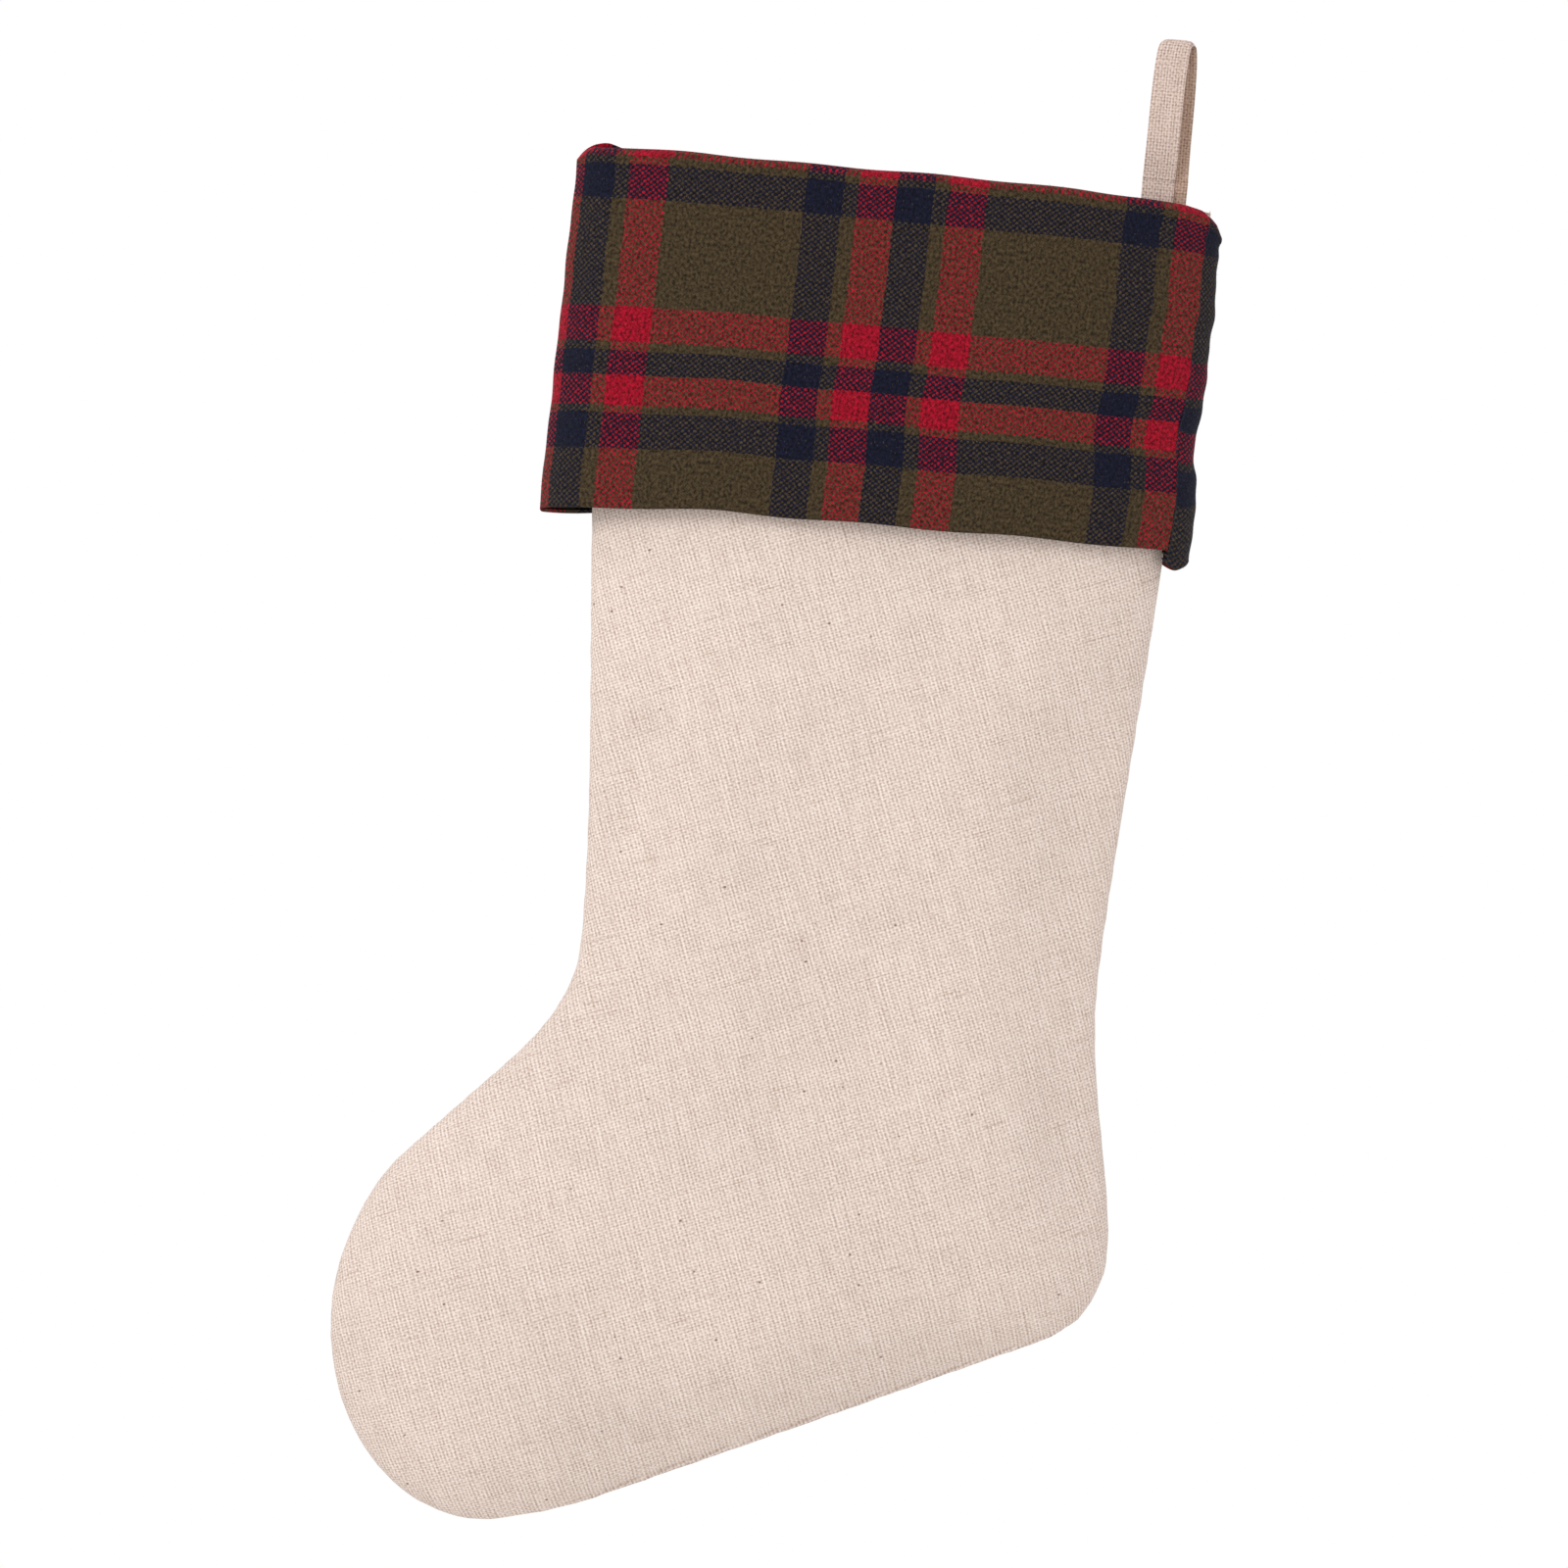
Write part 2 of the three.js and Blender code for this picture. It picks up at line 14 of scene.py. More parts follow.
import bpy
import numpy as np
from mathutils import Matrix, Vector


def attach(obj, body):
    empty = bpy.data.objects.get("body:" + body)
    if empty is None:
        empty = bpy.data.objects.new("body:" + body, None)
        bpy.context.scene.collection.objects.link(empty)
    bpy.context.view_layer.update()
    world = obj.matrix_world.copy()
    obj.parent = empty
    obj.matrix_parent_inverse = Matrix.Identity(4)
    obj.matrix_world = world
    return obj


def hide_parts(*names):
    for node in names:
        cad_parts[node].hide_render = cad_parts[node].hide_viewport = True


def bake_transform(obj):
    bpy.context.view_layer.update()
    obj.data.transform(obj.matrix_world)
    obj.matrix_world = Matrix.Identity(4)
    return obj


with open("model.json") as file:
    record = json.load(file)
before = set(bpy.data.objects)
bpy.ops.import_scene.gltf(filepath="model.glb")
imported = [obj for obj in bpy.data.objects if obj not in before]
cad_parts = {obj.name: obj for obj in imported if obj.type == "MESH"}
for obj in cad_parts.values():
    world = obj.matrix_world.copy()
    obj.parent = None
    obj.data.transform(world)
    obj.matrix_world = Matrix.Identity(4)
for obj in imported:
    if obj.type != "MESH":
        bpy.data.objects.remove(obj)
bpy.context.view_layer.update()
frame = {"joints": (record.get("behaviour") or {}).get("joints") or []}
LOG = logging.getLogger("stocking")

Array = np.ndarray
Piece = bpy.types.Object
Tree = bpy.types.NodeTree
Socket = bpy.types.NodeSocket

MM = 0.001
SWING_AXIS = next(j["axis"] for j in frame["joints"] if j["name"] == "stocking_swing")
LEAN = math.atan2(-SWING_AXIS[2], SWING_AXIS[0])  # the stocking leans as its swing axis does
SEAM_PLANE = 2.3  # the side seams hang this far behind the loop

LINEN, WADDING, LINING = 0.9, 3.0, 0.6  # thickness of each layer of the leg's wall
PLAID, FACING = 1.2, 0.8  # thickness of the cuff's two layers
GAP = 0.3  # air between neighbouring layers
WALL = LINEN + WADDING + LINING + 2 * GAP
TURN_IN_SLACK = 1.2  # air between the leg's wall and the plaid that is turned in over it
MOUTH_WALL = WALL + TURN_IN_SLACK + PLAID  # outermost face in to the mouth
FOLD_Z, HEM_Z = -57.0, -186.5  # the cuff's fold and hem
LEG_TOP_Z = FOLD_Z - 3.0
TAPE_WIDTH, TAPE_THICK = 12.0, 1.3
TAPE_STAGGER = 2.4  # each leg of the tape hangs this far to its side of the middle


class Body(str, Enum):
    """The bodies that pieces ride on."""

    EYE = "hanging_loop"
    NECK = "loop_neck"
    STOCKING = "stocking"


class Side(Enum):
    """The two halves of the stocking."""

    FRONT = (-1, 20.0, 80.0, 3.0)
    BACK = (1, 14.0, 60.0, 0.0)

    def __init__(self, facing: int, depth: float, roll: float, stand_off: float) -> None:
        """Gives the parts of a half's value their names.

        Args:
            facing: -1 towards the room, 1 towards the wall.
            depth: Seam plane out to the flat of the leg.
            roll: Width of the rolled edge.
            stand_off: How much further out the cuff stands at its hem.
        """
        self.facing, self.depth, self.roll, self.stand_off = facing, depth, roll, stand_off

    @property
    def word(self) -> str:
        """The half's name in a piece's name."""
        return self.name.lower()


# ---- Geometry --------------------------------------------------------------------------------


def pair(first: float, second: float) -> Array:
    """A point or a direction in a plane."""
    return np.array([first, second], float)


def hung(points: Array, behind: float = SEAM_PLANE) -> Array:
    """Leans upright points as the stocking hangs, in metres.

    Args:
        points: Upright millimetres, with x, y and z in the last axis.
        behind: How far the shape hangs behind the loop.

    Returns:
        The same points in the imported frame.
    """
    x, y, z = np.moveaxis(np.asarray(points, float), -1, 0)
    cos, sin = math.cos(LEAN), math.sin(LEAN)
    return np.stack([x * cos + z * sin, y + behind, z * cos - x * sin], axis=-1) * MM


def cubic(a: Array, b: Array, c: Array, d: Array, count: int = 60) -> Array:
    """Points along a cubic curve, without the first, which belongs to the piece before it."""
    t = np.linspace(0, 1, count + 1)[1:, None]
    return a * (1 - t) ** 3 + 3 * b * t * (1 - t) ** 2 + 3 * c * t * t * (1 - t) + d * t**3


def toward(a: Array, b: Array) -> Array:
    """The direction from a to b."""
    return (b - a) / np.linalg.norm(b - a)


def bend(a: Array, leaving: Array, far: float, b: Array, reaching: Array, near: float) -> Array:
    """A curve that leaves a along one direction and reaches b along another.

    Args:
        a: The start.
        leaving: The direction in which it leaves.
        far: How far it holds that direction.
        b: The end.
        reaching: The direction in which it arrives.
        near: How far it holds that one.

    Returns:
        Points along the curve.
    """
    return cubic(a, a + leaving * far, b - reaching * near, b)


def path_length(line: Array) -> Array:
    """How far along a polyline each of its points lies."""
    return np.concatenate([[0], np.cumsum(np.linalg.norm(np.diff(line, axis=0), axis=1))])


def resampled(line: Array, shares: Array) -> Array:
    """Points at the given shares of a polyline's length."""
    along = path_length(line)
    at = shares * along[-1]
    return np.stack([np.interp(at, along, line[:, k]) for k in range(line.shape[1])], axis=1)


def with_depth(flat: Array, y: Array) -> Array:
    """Points of the seam plane, set at the depths y."""
    return np.stack([flat[..., 0], y, flat[..., 1]], axis=-1)


def smoothstep(low: float, high: float, value: Array) -> Array:
    """0 below low, 1 above high, and an even turn between."""
    t = np.clip((value - low) / (high - low), 0, 1)
    return t * t * (3 - 2 * t)


def bump(centre: float, width: float, value: Array) -> Array:
    """A bell of height 1 at centre."""
    return np.exp(-(((value - centre) / width) ** 2))


def cosine_shares(columns: int) -> Array:
    """Shares from 0 to 1, closer together near both ends."""
    return (1 - np.cos(np.pi * np.arange(columns + 1) / columns)) / 2


def grid_quads(number: Array) -> Array:
    """The quads of a grid of point numbers."""
    corners = [number[:-1, :-1], number[1:, :-1], number[1:, 1:], number[:-1, 1:]]
    return np.stack(corners, axis=-1).reshape(-1, 4)


def strip_quads(a: Array, b: Array) -> Array:
    """The quads between two equal rows of point numbers."""
    return np.stack([a[:-1], a[1:], b[1:], b[:-1]], axis=1)


def linked(name: str, data: object) -> Piece:
    """A new object in the scene."""
    made = bpy.data.objects.new(name, data)
    bpy.context.scene.collection.objects.link(made)
    return made


def mesh_of(name: str, points: Array, edges: list, faces: list) -> bpy.types.Mesh:
    """A new mesh from points in metres."""
    mesh = bpy.data.meshes.new(name)
    mesh.from_pydata(points.tolist(), edges, faces)
    return mesh


def sheet_of_cloth(
    name: str, outer: Array, inner: Array, cloth: Array, behind: float = SEAM_PLANE
) -> Piece:
    """A closed sheet between two grids of upright points, with its faces turned outwards.

    Its cut edges are shaded flat. The attribute `cloth` holds each point's place on the cut
    cloth, in millimetres, and then 0 on the outer face or 1 on the inner one.

    Args:
        name: The object's name.
        outer: The outer face, rows by columns by three.
        inner: The inner face, with the same rows and columns.
        cloth: The place of each point on the cut cloth, rows by columns by two.
        behind: How far the sheet hangs behind the loop.

    Returns:
        The object, linked to the scene.
    """
    size = cloth[..., 0].size
    number = np.arange(size).reshape(cloth.shape[:2])
    rim = np.concatenate([
        strip_quads(number[:, 0], number[:, 0] + size),
        strip_quads(number[:, -1] + size, number[:, -1]),
        strip_quads(number[0] + size, number[0]),
        strip_quads(number[-1], number[-1] + size),
    ])
    face = grid_quads(number)
    quads = np.concatenate([face, face[:, ::-1] + size, rim])
    points = hung(np.concatenate([outer.reshape(-1, 3), inner.reshape(-1, 3)]), behind)
    centred = points - points.mean(axis=0)
    corner = [centred[quads[:, k]] for k in range(4)]
    if sum((corner[0] * np.cross(corner[k], corner[k + 1])).sum() for k in (1, 2)) < 0:
        quads = quads[:, ::-1]
    mesh = mesh_of(name, points, [], quads.tolist())
    mesh.polygons.foreach_set("use_smooth", np.arange(len(quads)) < len(quads) - len(rim))
    flat = cloth.reshape(-1, 2)
    places = [np.pad(flat, ((0, 0), (0, 1)), constant_values=inside) for inside in (0.0, 1.0)]
    layer = mesh.attributes.new("cloth", "FLOAT_VECTOR", "POINT")
    layer.data.foreach_set("vector", np.concatenate(places).astype(np.float32).ravel())
    mesh.update()
    return linked(name, mesh)


# ---- Finishes --------------------------------------------------------------------------------


def linear(colour: str) -> tuple[float, float, float, float]:
    """An sRGB hex colour as linear red, green, blue and alpha."""
    parts = [int(colour[k : k + 2], 16) / 255 for k in (1, 3, 5)]
    curve = [c / 12.92 if c <= 0.04045 else ((c + 0.055) / 1.055) ** 2.4 for c in parts]
    return (*curve, 1.0)


def add(tree: Tree, kind: str, links: dict | None = None, **settings: object) -> bpy.types.Node:
    """Adds a node to a tree.

    Args:
        tree: The node tree.
        kind: The node's type.
        links: For each input, by name or number, the socket that feeds it or its value.
        **settings: The node's own properties.

    Returns:
        The node.
    """
    made = tree.nodes.new(kind)
    for name, value in settings.items():
        setattr(made, name, value)
    for name, value in (links or {}).items():
        if isinstance(value, Socket):
            tree.links.new(value, made.inputs[name])
        else:
            made.inputs[name].default_value = value
    return made


def calc(tree: Tree, operation: str, *values: object) -> Socket:
    """The result of a maths operation on sockets or numbers."""
    return add(tree, "ShaderNodeMath", dict(enumerate(values)), operation=operation).outputs[0]


def mixed(tree: Tree, share: object, a: object, b: object, how: str = "MIX") -> Socket:
    """The mix of two colours, each a socket or a linear colour."""
    links = {0: share, 6: a, 7: b}
    return add(tree, "ShaderNodeMix", links, data_type="RGBA", blend_type=how).outputs[2]


def shaded(tree: Tree, colour: object, shade: Socket) -> Socket:
    """A colour made lighter or darker by a factor."""
    tint = add(tree, "ShaderNodeCombineColor", {0: shade, 1: shade, 2: shade}).outputs[0]
    return mixed(tree, 1.0, colour, tint, "MULTIPLY")


def mapped(
    tree: Tree, value: object, source: tuple[float, float], target: tuple[float, float] = (0.0, 1.0)
) -> Socket:
    """A value moved from one range to another, and kept inside it."""
    links = {"Value": value, "From Min": source[0], "From Max": source[1]}
    links |= {"To Min": target[0], "To Max": target[1]}
    return add(tree, "ShaderNodeMapRange", links, clamp=True).outputs[0]


def swayed(tree: Tree, value: object, share: Socket, amount: float) -> Socket:
    """A value moved up or down by noise, by half the amount where the noise is 1."""
    return calc(tree, "MULTIPLY_ADD", calc(tree, "SUBTRACT", share, 0.5), amount, value)


@dataclass(frozen=True)
class CutPlace:
    """Where a point lies on the cut cloth, in millimetres, and on which of its faces."""

    tree: Tree
    across: Socket
    along: Socket
    inside: Socket | None = None

    @classmethod
    def read(cls, tree: Tree) -> "CutPlace":
        """The place that a sheet's own points carry."""
        cloth = add(tree, "ShaderNodeAttribute", attribute_name="cloth").outputs["Vector"]
        return cls(tree, *add(tree, "ShaderNodeSeparateXYZ", {0: cloth}).outputs)

    def leaned(self, degrees: float) -> "CutPlace":
        """The place along and across a warp that leans by an angle."""
        cos, sin = math.cos(math.radians(degrees)), math.sin(math.radians(degrees))
        x_cos, z_sin, z_cos, x_sin = (
            calc(self.tree, "MULTIPLY", value, factor)
            for value, factor in (
                (self.across, cos), (self.along, sin), (self.along, cos), (self.across, sin)
            )
        )
        across = calc(self.tree, "ADD", x_cos, z_sin)
        return CutPlace(self.tree, across, calc(self.tree, "SUBTRACT", z_cos, x_sin), self.inside)

    def cell(self, wide: float, long: float, depth: float = 0.0) -> Socket:
        """A texture place whose unit is `wide` by `long`, in a layer of its own."""
        x = calc(self.tree, "DIVIDE", self.across, wide)
        y = calc(self.tree, "DIVIDE", self.along, long)
        return add(self.tree, "ShaderNodeCombineXYZ", {0: x, 1: y, 2: depth}).outputs[0]

    def noise(
        self, wide: float, long: float, depth: float = 0.0, detail: float = 2.0,
        roughness: float = 0.5,
    ) -> Socket:
        """Soft noise from 0 to 1, with grains of `wide` by `long`."""
        links = {"Vector": self.cell(wide, long, depth), "Scale": 1.0, "Detail": detail}
        return add(self.tree, "ShaderNodeTexNoise", {**links, "Roughness": roughness}).outputs[0]

    def crossing(self, wide: float, long: float) -> Socket:
        """The product of a wave across the cloth and one along it, with these two pitches."""
        waves = (
            calc(self.tree, "SINE", calc(self.tree, "MULTIPLY", value, 2 * math.pi / pitch))
            for value, pitch in ((self.across, wide), (self.along, long))
        )
        return calc(self.tree, "MULTIPLY", *waves)


@dataclass(frozen=True)
class Finish:
    """What a piece is made of and how its surface was made."""

    name: str

    def material(self) -> bpy.types.Material:
        """The finish's material, made once."""
        found = bpy.data.materials.get(self.name)
        if found:
            return found
        made = bpy.data.materials.new(self.name)
        made.use_nodes = True
        made.node_tree.nodes.clear()
        self.weave(made.node_tree)
        return made

    def weave(self, tree: Tree) -> None:
        """Draws up the finish's pattern."""
        raise NotImplementedError

    def surface(
        self, tree: Tree, colour: Socket, roughness: object, height: Socket, deep: float,
        sheen: float = 0.0, specular: float = 0.2,
    ) -> None:
        """Ends the pattern in a shader.

        Args:
            tree: The material's tree.
            colour: The colour socket.
            roughness: A socket or a number.
            height: The relief, from 0 to 1.
            deep: How deep the relief is, in millimetres.
            sheen: How much the fibre ends that stand out of the cloth light up at a grazing angle.
            specular: How strong its gloss is.
        """
        links = {"Height": height, "Strength": 1.0, "Distance": deep * MM}
        relief = add(tree, "ShaderNodeBump", links).outputs[0]
        shader = add(tree, "ShaderNodeBsdfPrincipled", {
            "Base Color": colour, "Metallic": 0.0, "Roughness": roughness, "Normal": relief,
            "IOR": 1.45,  # fibres of any kind are close to this
            "Specular IOR Level": specular, "Sheen Weight": sheen, "Sheen Roughness": 0.55,
        })
        add(tree, "ShaderNodeOutputMaterial", {"Surface": shader.outputs[0]})


@dataclass(frozen=True)
class Linen(Finish):
    """Unbleached linen and cotton canvas in plain weave, washed and matt.

    Uneven flax yarns give ribs of changing width, long thick slubs across them, and specks of husk.
    The real yarns lie about 1 mm apart; the ribs are drawn 1.45 mm apart, so that they can be seen.
    """

    yarn: str = "#d6c4ba"
    hollow: str = "#a89386"
    crest: str = "#eee2da"
    slub: str = "#a38b76"
    husk: str = "#5c3f2c"
    grain_lean: float = 21.4  # degrees that the cloth's warp leans from the leg's own axis
    rib_pitch: float = 1.45
    pick_pitch: float = 1.05
    rib_drift: float = 1.6  # how far a rib wanders from its line
    pick_drift: float = 1.3
    relief: float = 0.16
    turned_in: str = ""  # painted shade: the inner face is darkened as if in the shadow inside the loop

    def weave(self, tree: Tree) -> None:
        """Ribs and picks that wander, slubs, husks and a slow change of tone."""
        place = CutPlace.read(tree).leaned(self.grain_lean)
        across = calc(tree, "MULTIPLY_ADD", place.noise(7.0, 45.0), self.rib_drift, place.across)
        drift = place.noise(40.0, 6.0, 3.0)
        along = calc(tree, "MULTIPLY_ADD", drift, self.pick_drift, place.along)
        rib, pick = (
            calc(tree, "SINE", calc(tree, "MULTIPLY", value, 2 * math.pi / pitch))
            for value, pitch in ((across, self.rib_pitch), (along, self.pick_pitch))
        )
        # Crest of each yarn, where it passes over: the two sets take turns.
        turn = CutPlace(tree, across, along).crossing(2 * self.rib_pitch, 2 * self.pick_pitch)
        strength = mapped(tree, place.noise(2.2, 5.0, 31.0), (0.3, 0.7), (0.04, 0.30))
        tone = calc(tree, "MULTIPLY_ADD", rib, strength, 0.5)
        for wave in (pick, turn):
            tone = calc(tree, "MULTIPLY_ADD", wave, 0.13, tone)
        for share, amount in (  # one rib's tone, one pick's tone, and the fine grain
            (place.noise(self.rib_pitch, 16.0, 7.0, 3.0), 0.42),
            (place.noise(18.0, self.pick_pitch, 11.0, 3.0), 0.34),
            (place.noise(0.75, 0.75, 5.0, 3.0, 0.7), 1.45),
        ):
            tone = swayed(tree, tone, share, amount)

        dark = mapped(tree, tone, (0.05, 0.55))
        colour = mixed(tree, dark, linear(self.hollow), linear(self.yarn))
        colour = mixed(tree, mapped(tree, tone, (0.5, 1.05)), colour, linear(self.crest))
        slub = mapped(tree, place.noise(24.0, 0.7, 19.0, 2.0, 0.55), (0.665, 0.74), (0.0, 0.7))
        colour = mixed(tree, slub, colour, linear(self.slub))
        links = {"Vector": place.cell(7.0, 5.0, 2.0), "Scale": 1.0}
        specks = add(tree, "ShaderNodeTexVoronoi", links).outputs
        chosen = add(tree, "ShaderNodeSeparateColor", {0: specks["Color"]}).outputs[0]
        near = mapped(tree, specks["Distance"], (0.06, 0.10), (1.0, 0.0))
        speck = calc(tree, "MULTIPLY", near, mapped(tree, chosen, (0.80, 0.86)))
        colour = mixed(tree, calc(tree, "MULTIPLY", speck, 0.8), colour, linear(self.husk))
        slow = place.noise(70.0, 90.0, 23.0, 1.0)
        colour = shaded(tree, colour, mapped(tree, slow, (0.3, 0.7), (0.975, 1.025)))
        # Painted shade: the inner face is darkened by a colour, as if in the shadow inside the
        # loop.
        if self.turned_in:
            inside = mapped(tree, place.inside, (0.2, 0.8))
            colour = mixed(tree, inside, colour, linear(self.turned_in), "MULTIPLY")
        height = calc(tree, "MULTIPLY_ADD", slub, 0.4, tone)
        roughness = mapped(tree, tone, (0.0, 1.0), (0.95, 0.82))
        self.surface(tree, colour, roughness, height, self.relief, sheen=0.06)


@dataclass(frozen=True)
class Wool:
    """A dyed yarn: its colour, and its cover at crossings, larger for darker yarns as painted
    shade.
    """

    colour: str
    # cover at crossings: partly real, partly painted shade between the yarns, so darker yarns get
    # more
    bulk: float


# The darker the yarn, the more of each crossing it covers: painted shade between the yarns.
OLIVE, NAVY, RED = Wool("#3a2f1f", 0.5), Wool("#0e1021", 0.62), Wool("#85071d", 0.40)
Sett = tuple[tuple[Wool, float], ...]  # the stripes of a plaid in order: each one's wool and width


@dataclass(frozen=True)
class PlaidFlannel(Finish):
    """Brushed wool flannel woven in a plaid, in three dyed yarns.

    Where a warp stripe crosses a weft stripe of another colour, both show as a fine checker. The
    yarns lie about 1.1 mm apart, and the checker repeats over two of them.
    The brushed nap blurs the yarns and catches light at a grazing angle.
    """

    warp: Sett = (
        (OLIVE, 50.4), (NAVY, 13.7), (OLIVE, 5.4), (RED, 13.7), (NAVY, 13.7), (OLIVE, 5.4),
        (RED, 14.4),
    )
    weft: Sett = (
        (OLIVE, 38.6), (NAVY, 12.8), (OLIVE, 2.8), (RED, 10.9), (NAVY, 8.7), (OLIVE, 2.9),
        (RED, 12.9),
    )
    first_warp: float = -183.1  # where an olive ground stripe of the warp starts
    first_weft: float = -114.4  # where an olive ground stripe of the weft starts
    yarn_across: float = 1.15
    yarn_down: float = 0.98
    stray: float = 1.6  # how far brushing drags a yarn's colour
    fibre: str = "#7a6a50"  # the palest fibre ends
    relief: float = 0.35

    def stripes(self, tree: Tree, place: Socket, first: float, sett: Sett) -> list[Socket]:
        """The wool's colour and its cover, with painted shade, at a place across one set of
        stripes.

        Args:
            tree: The material's tree.
            place: The place, in millimetres.
            first: Where the first stripe starts.
            sett: The stripes.

        Returns:
            The colour socket, and the socket of its cover with painted shade.
        """
        repeat = sum(width for _, width in sett)
        turns = calc(tree, "DIVIDE", calc(tree, "SUBTRACT", place, first), repeat)
        node = add(tree, "ShaderNodeValToRGB", {0: calc(tree, "FRACT", turns)})
        ramp = node.color_ramp
        ramp.interpolation = "CONSTANT"
        start = 0.0
        for i, (wool, width) in enumerate(sett):
            stop = ramp.elements.new(start / repeat) if i else ramp.elements[0]
            stop.color = (*linear(wool.colour)[:3], wool.bulk)
            start += width
        ramp.elements.remove(ramp.elements[-1])
        return list(node.outputs)

    def weave(self, tree: Tree) -> None:
        """Two sets of stripes woven one over the other, and the nap brushed up on them."""
        cut = CutPlace.read(tree)
        across = swayed(tree, cut.across, cut.noise(2.2, 2.2, 0.0, 3.0, 0.7), self.stray)
        half = CutPlace(tree, across, cut.along)
        down = swayed(tree, cut.along, half.noise(2.2, 2.2, 9.0, 3.0, 0.7), self.stray)
        place = CutPlace(tree, across, down)
        warp, warp_cover_and_shade = self.stripes(tree, across, self.first_warp, self.warp)
        weft, weft_cover_and_shade = self.stripes(tree, down, self.first_weft, self.weft)
        nap = place.noise(0.75, 0.75, 4.0, 3.0, 0.75)
        checker = swayed(tree, place.crossing(2 * self.yarn_across, 2 * self.yarn_down), nap, 1.5)
        # The yarn with more cover takes more of the checker; darker yarns have more, as painted
        # shade.
        lead = calc(tree, "SUBTRACT", warp_cover_and_shade, weft_cover_and_shade)
        over = mapped(tree, calc(tree, "MULTIPLY_ADD", lead, 1.1, checker), (-0.2, 0.2))
        colour = mixed(tree, over, weft, warp)
        crown = place.crossing(self.yarn_across, self.yarn_down)
        # Fibre tone at random, plus painted shade from the yarns' crowns that darkens the colour
        # between yarns.
        felt_and_painted_shade = calc(tree, "MULTIPLY_ADD", crown, 0.07, place.noise(1.0, 1.3, 13.0, 1.0))
        colour = shaded(tree, colour, mapped(tree, felt_and_painted_shade, (0.3, 0.7), (0.35, 1.75)))
        hair = mapped(tree, place.noise(0.5, 1.2, 29.0), (0.64, 0.76), (0.0, 0.35))
        colour = mixed(tree, hair, colour, linear(self.fibre))
        height = calc(tree, "MULTIPLY_ADD", crown, 0.2, swayed(tree, 0.5, nap, 0.9))
        self.surface(tree, colour, 0.96, height, self.relief, sheen=0.04, specular=0.13)


@dataclass(frozen=True)
class CottonLining(Finish):
    """Thin bleached cotton lining in plain weave, calendered, so a little smoother than linen."""

    colour: str = "#efe7da"
    yarn_pitch: float = 0.8  # twice the real 0.4, so that the weave can be seen

    def weave(self, tree: Tree) -> None:
        """A fine even weave, with streaks along the warp."""
        place = CutPlace.read(tree)
        grid = place.crossing(self.yarn_pitch, self.yarn_pitch)
        tone = calc(tree, "MULTIPLY_ADD", grid, 0.15, place.noise(1.0, 24.0, 0.0, 3.0))
        shade = mapped(tree, tone, (0.2, 0.8), (0.88, 1.03))
        self.surface(tree, shaded(tree, linear(self.colour), shade), 0.8, tone, 0.06)


@dataclass(frozen=True)
class Clumped(Finish):
    """A white matt surface broken only by soft clumps, with no weave."""

    colour: str
    clump: float  # size of a clump
    detail: float
    shades: tuple[float, float]  # darkest and lightest shade
    roughness: float
    relief: float
    noise_roughness: float = 0.5
    sheen: float = 0.0

    def weave(self, tree: Tree) -> None:
        """Clumps in the piece's own space."""
        place = add(tree, "ShaderNodeTexCoord").outputs["Object"]
        links = {"Vector": place, "Scale": 1 / (self.clump * MM), "Detail": self.detail}
        links["Roughness"] = self.noise_roughness
        clumps = add(tree, "ShaderNodeTexNoise", links).outputs[0]
        shade = mapped(tree, clumps, (0.3, 0.7), self.shades)
        colour = shaded(tree, linear(self.colour), shade)
        self.surface(tree, colour, self.roughness, clumps, self.relief, self.sheen)


@dataclass(frozen=True)
class SpunThread(Finish):
    """Spun polyester sewing thread: plies twisted together, with a low lustre."""

    colour: str = "#d9c7b8"
    slant: tuple[float, float, float] = (5600.0, 4000.0, 7200.0)  # turn of the plies to the metre

    def weave(self, tree: Tree) -> None:
        """Plies that cross the thread at a slant, 0.6 mm apart."""
        place = add(tree, "ShaderNodeTexCoord").outputs["Object"]
        links = {0: place, 1: self.slant}
        slant = add(tree, "ShaderNodeVectorMath", links, operation="DOT_PRODUCT").outputs["Value"]
        plies = calc(tree, "SINE", slant)
        shade = mapped(tree, plies, (-1.0, 1.0), (0.8, 1.05))
        self.surface(tree, shaded(tree, linear(self.colour), shade), 0.6, plies, 0.05)


LINEN_CANVAS = Linen("washed_linen_canvas")
# The tape's inner face carries painted shade, as if in the shadow inside the loop.
LINEN_TAPE = Linen(
    "woven_linen_tape", yarn="#c9b3a9", hollow="#927a6e", crest="#e0cfc5", slub="#927a6b",
    grain_lean=0.0, rib_pitch=1.1, pick_pitch=1.1, relief=0.2, turned_in="#e1d4c7",
)
PLAID_FLANNEL = PlaidFlannel("plaid_wool_flannel")
COTTON_LINING = CottonLining("bleached_cotton")
# Needled polyester wadding: a felt of crimped white fibres in clumps about 3 mm across.
WHITE_WADDING = Clumped(
    "needled_wadding", "#f4f1ea", clump=3.0, detail=5.0, shades=(0.86, 1.0), roughness=1.0,
    relief=0.8, noise_roughness=0.7, sheen=0.1,
)
# A studio floor painted matt white, with the roller's stipple 12 mm across.
PAINTED_FLOOR = Clumped(
    "painted_floor", "#f3f2f0", clump=12.0, detail=3.0, shades=(0.97, 1.0), roughness=0.85,
    relief=0.2,
)
NATURAL_THREAD = SpunThread("natural_spun_thread")
DARK_THREAD = SpunThread("dark_spun_thread", colour="#2a1f22")


# ---- Fixing pieces to the frame --------------------------------------------------------------


@dataclass(frozen=True)
class Bend:
    """Where a piece bends from one body to the next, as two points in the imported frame."""

    first: Body
    second: Body
    start: Array
    end: Array

    @classmethod
    def down_loop(cls, first: Body, second: Body, top: float, bottom: float) -> "Bend":
        """A bend between two heights on the loop's own axis."""
        return cls(first, second, *hung(np.array([[0, 0, top], [0, 0, bottom]]), 0.0))


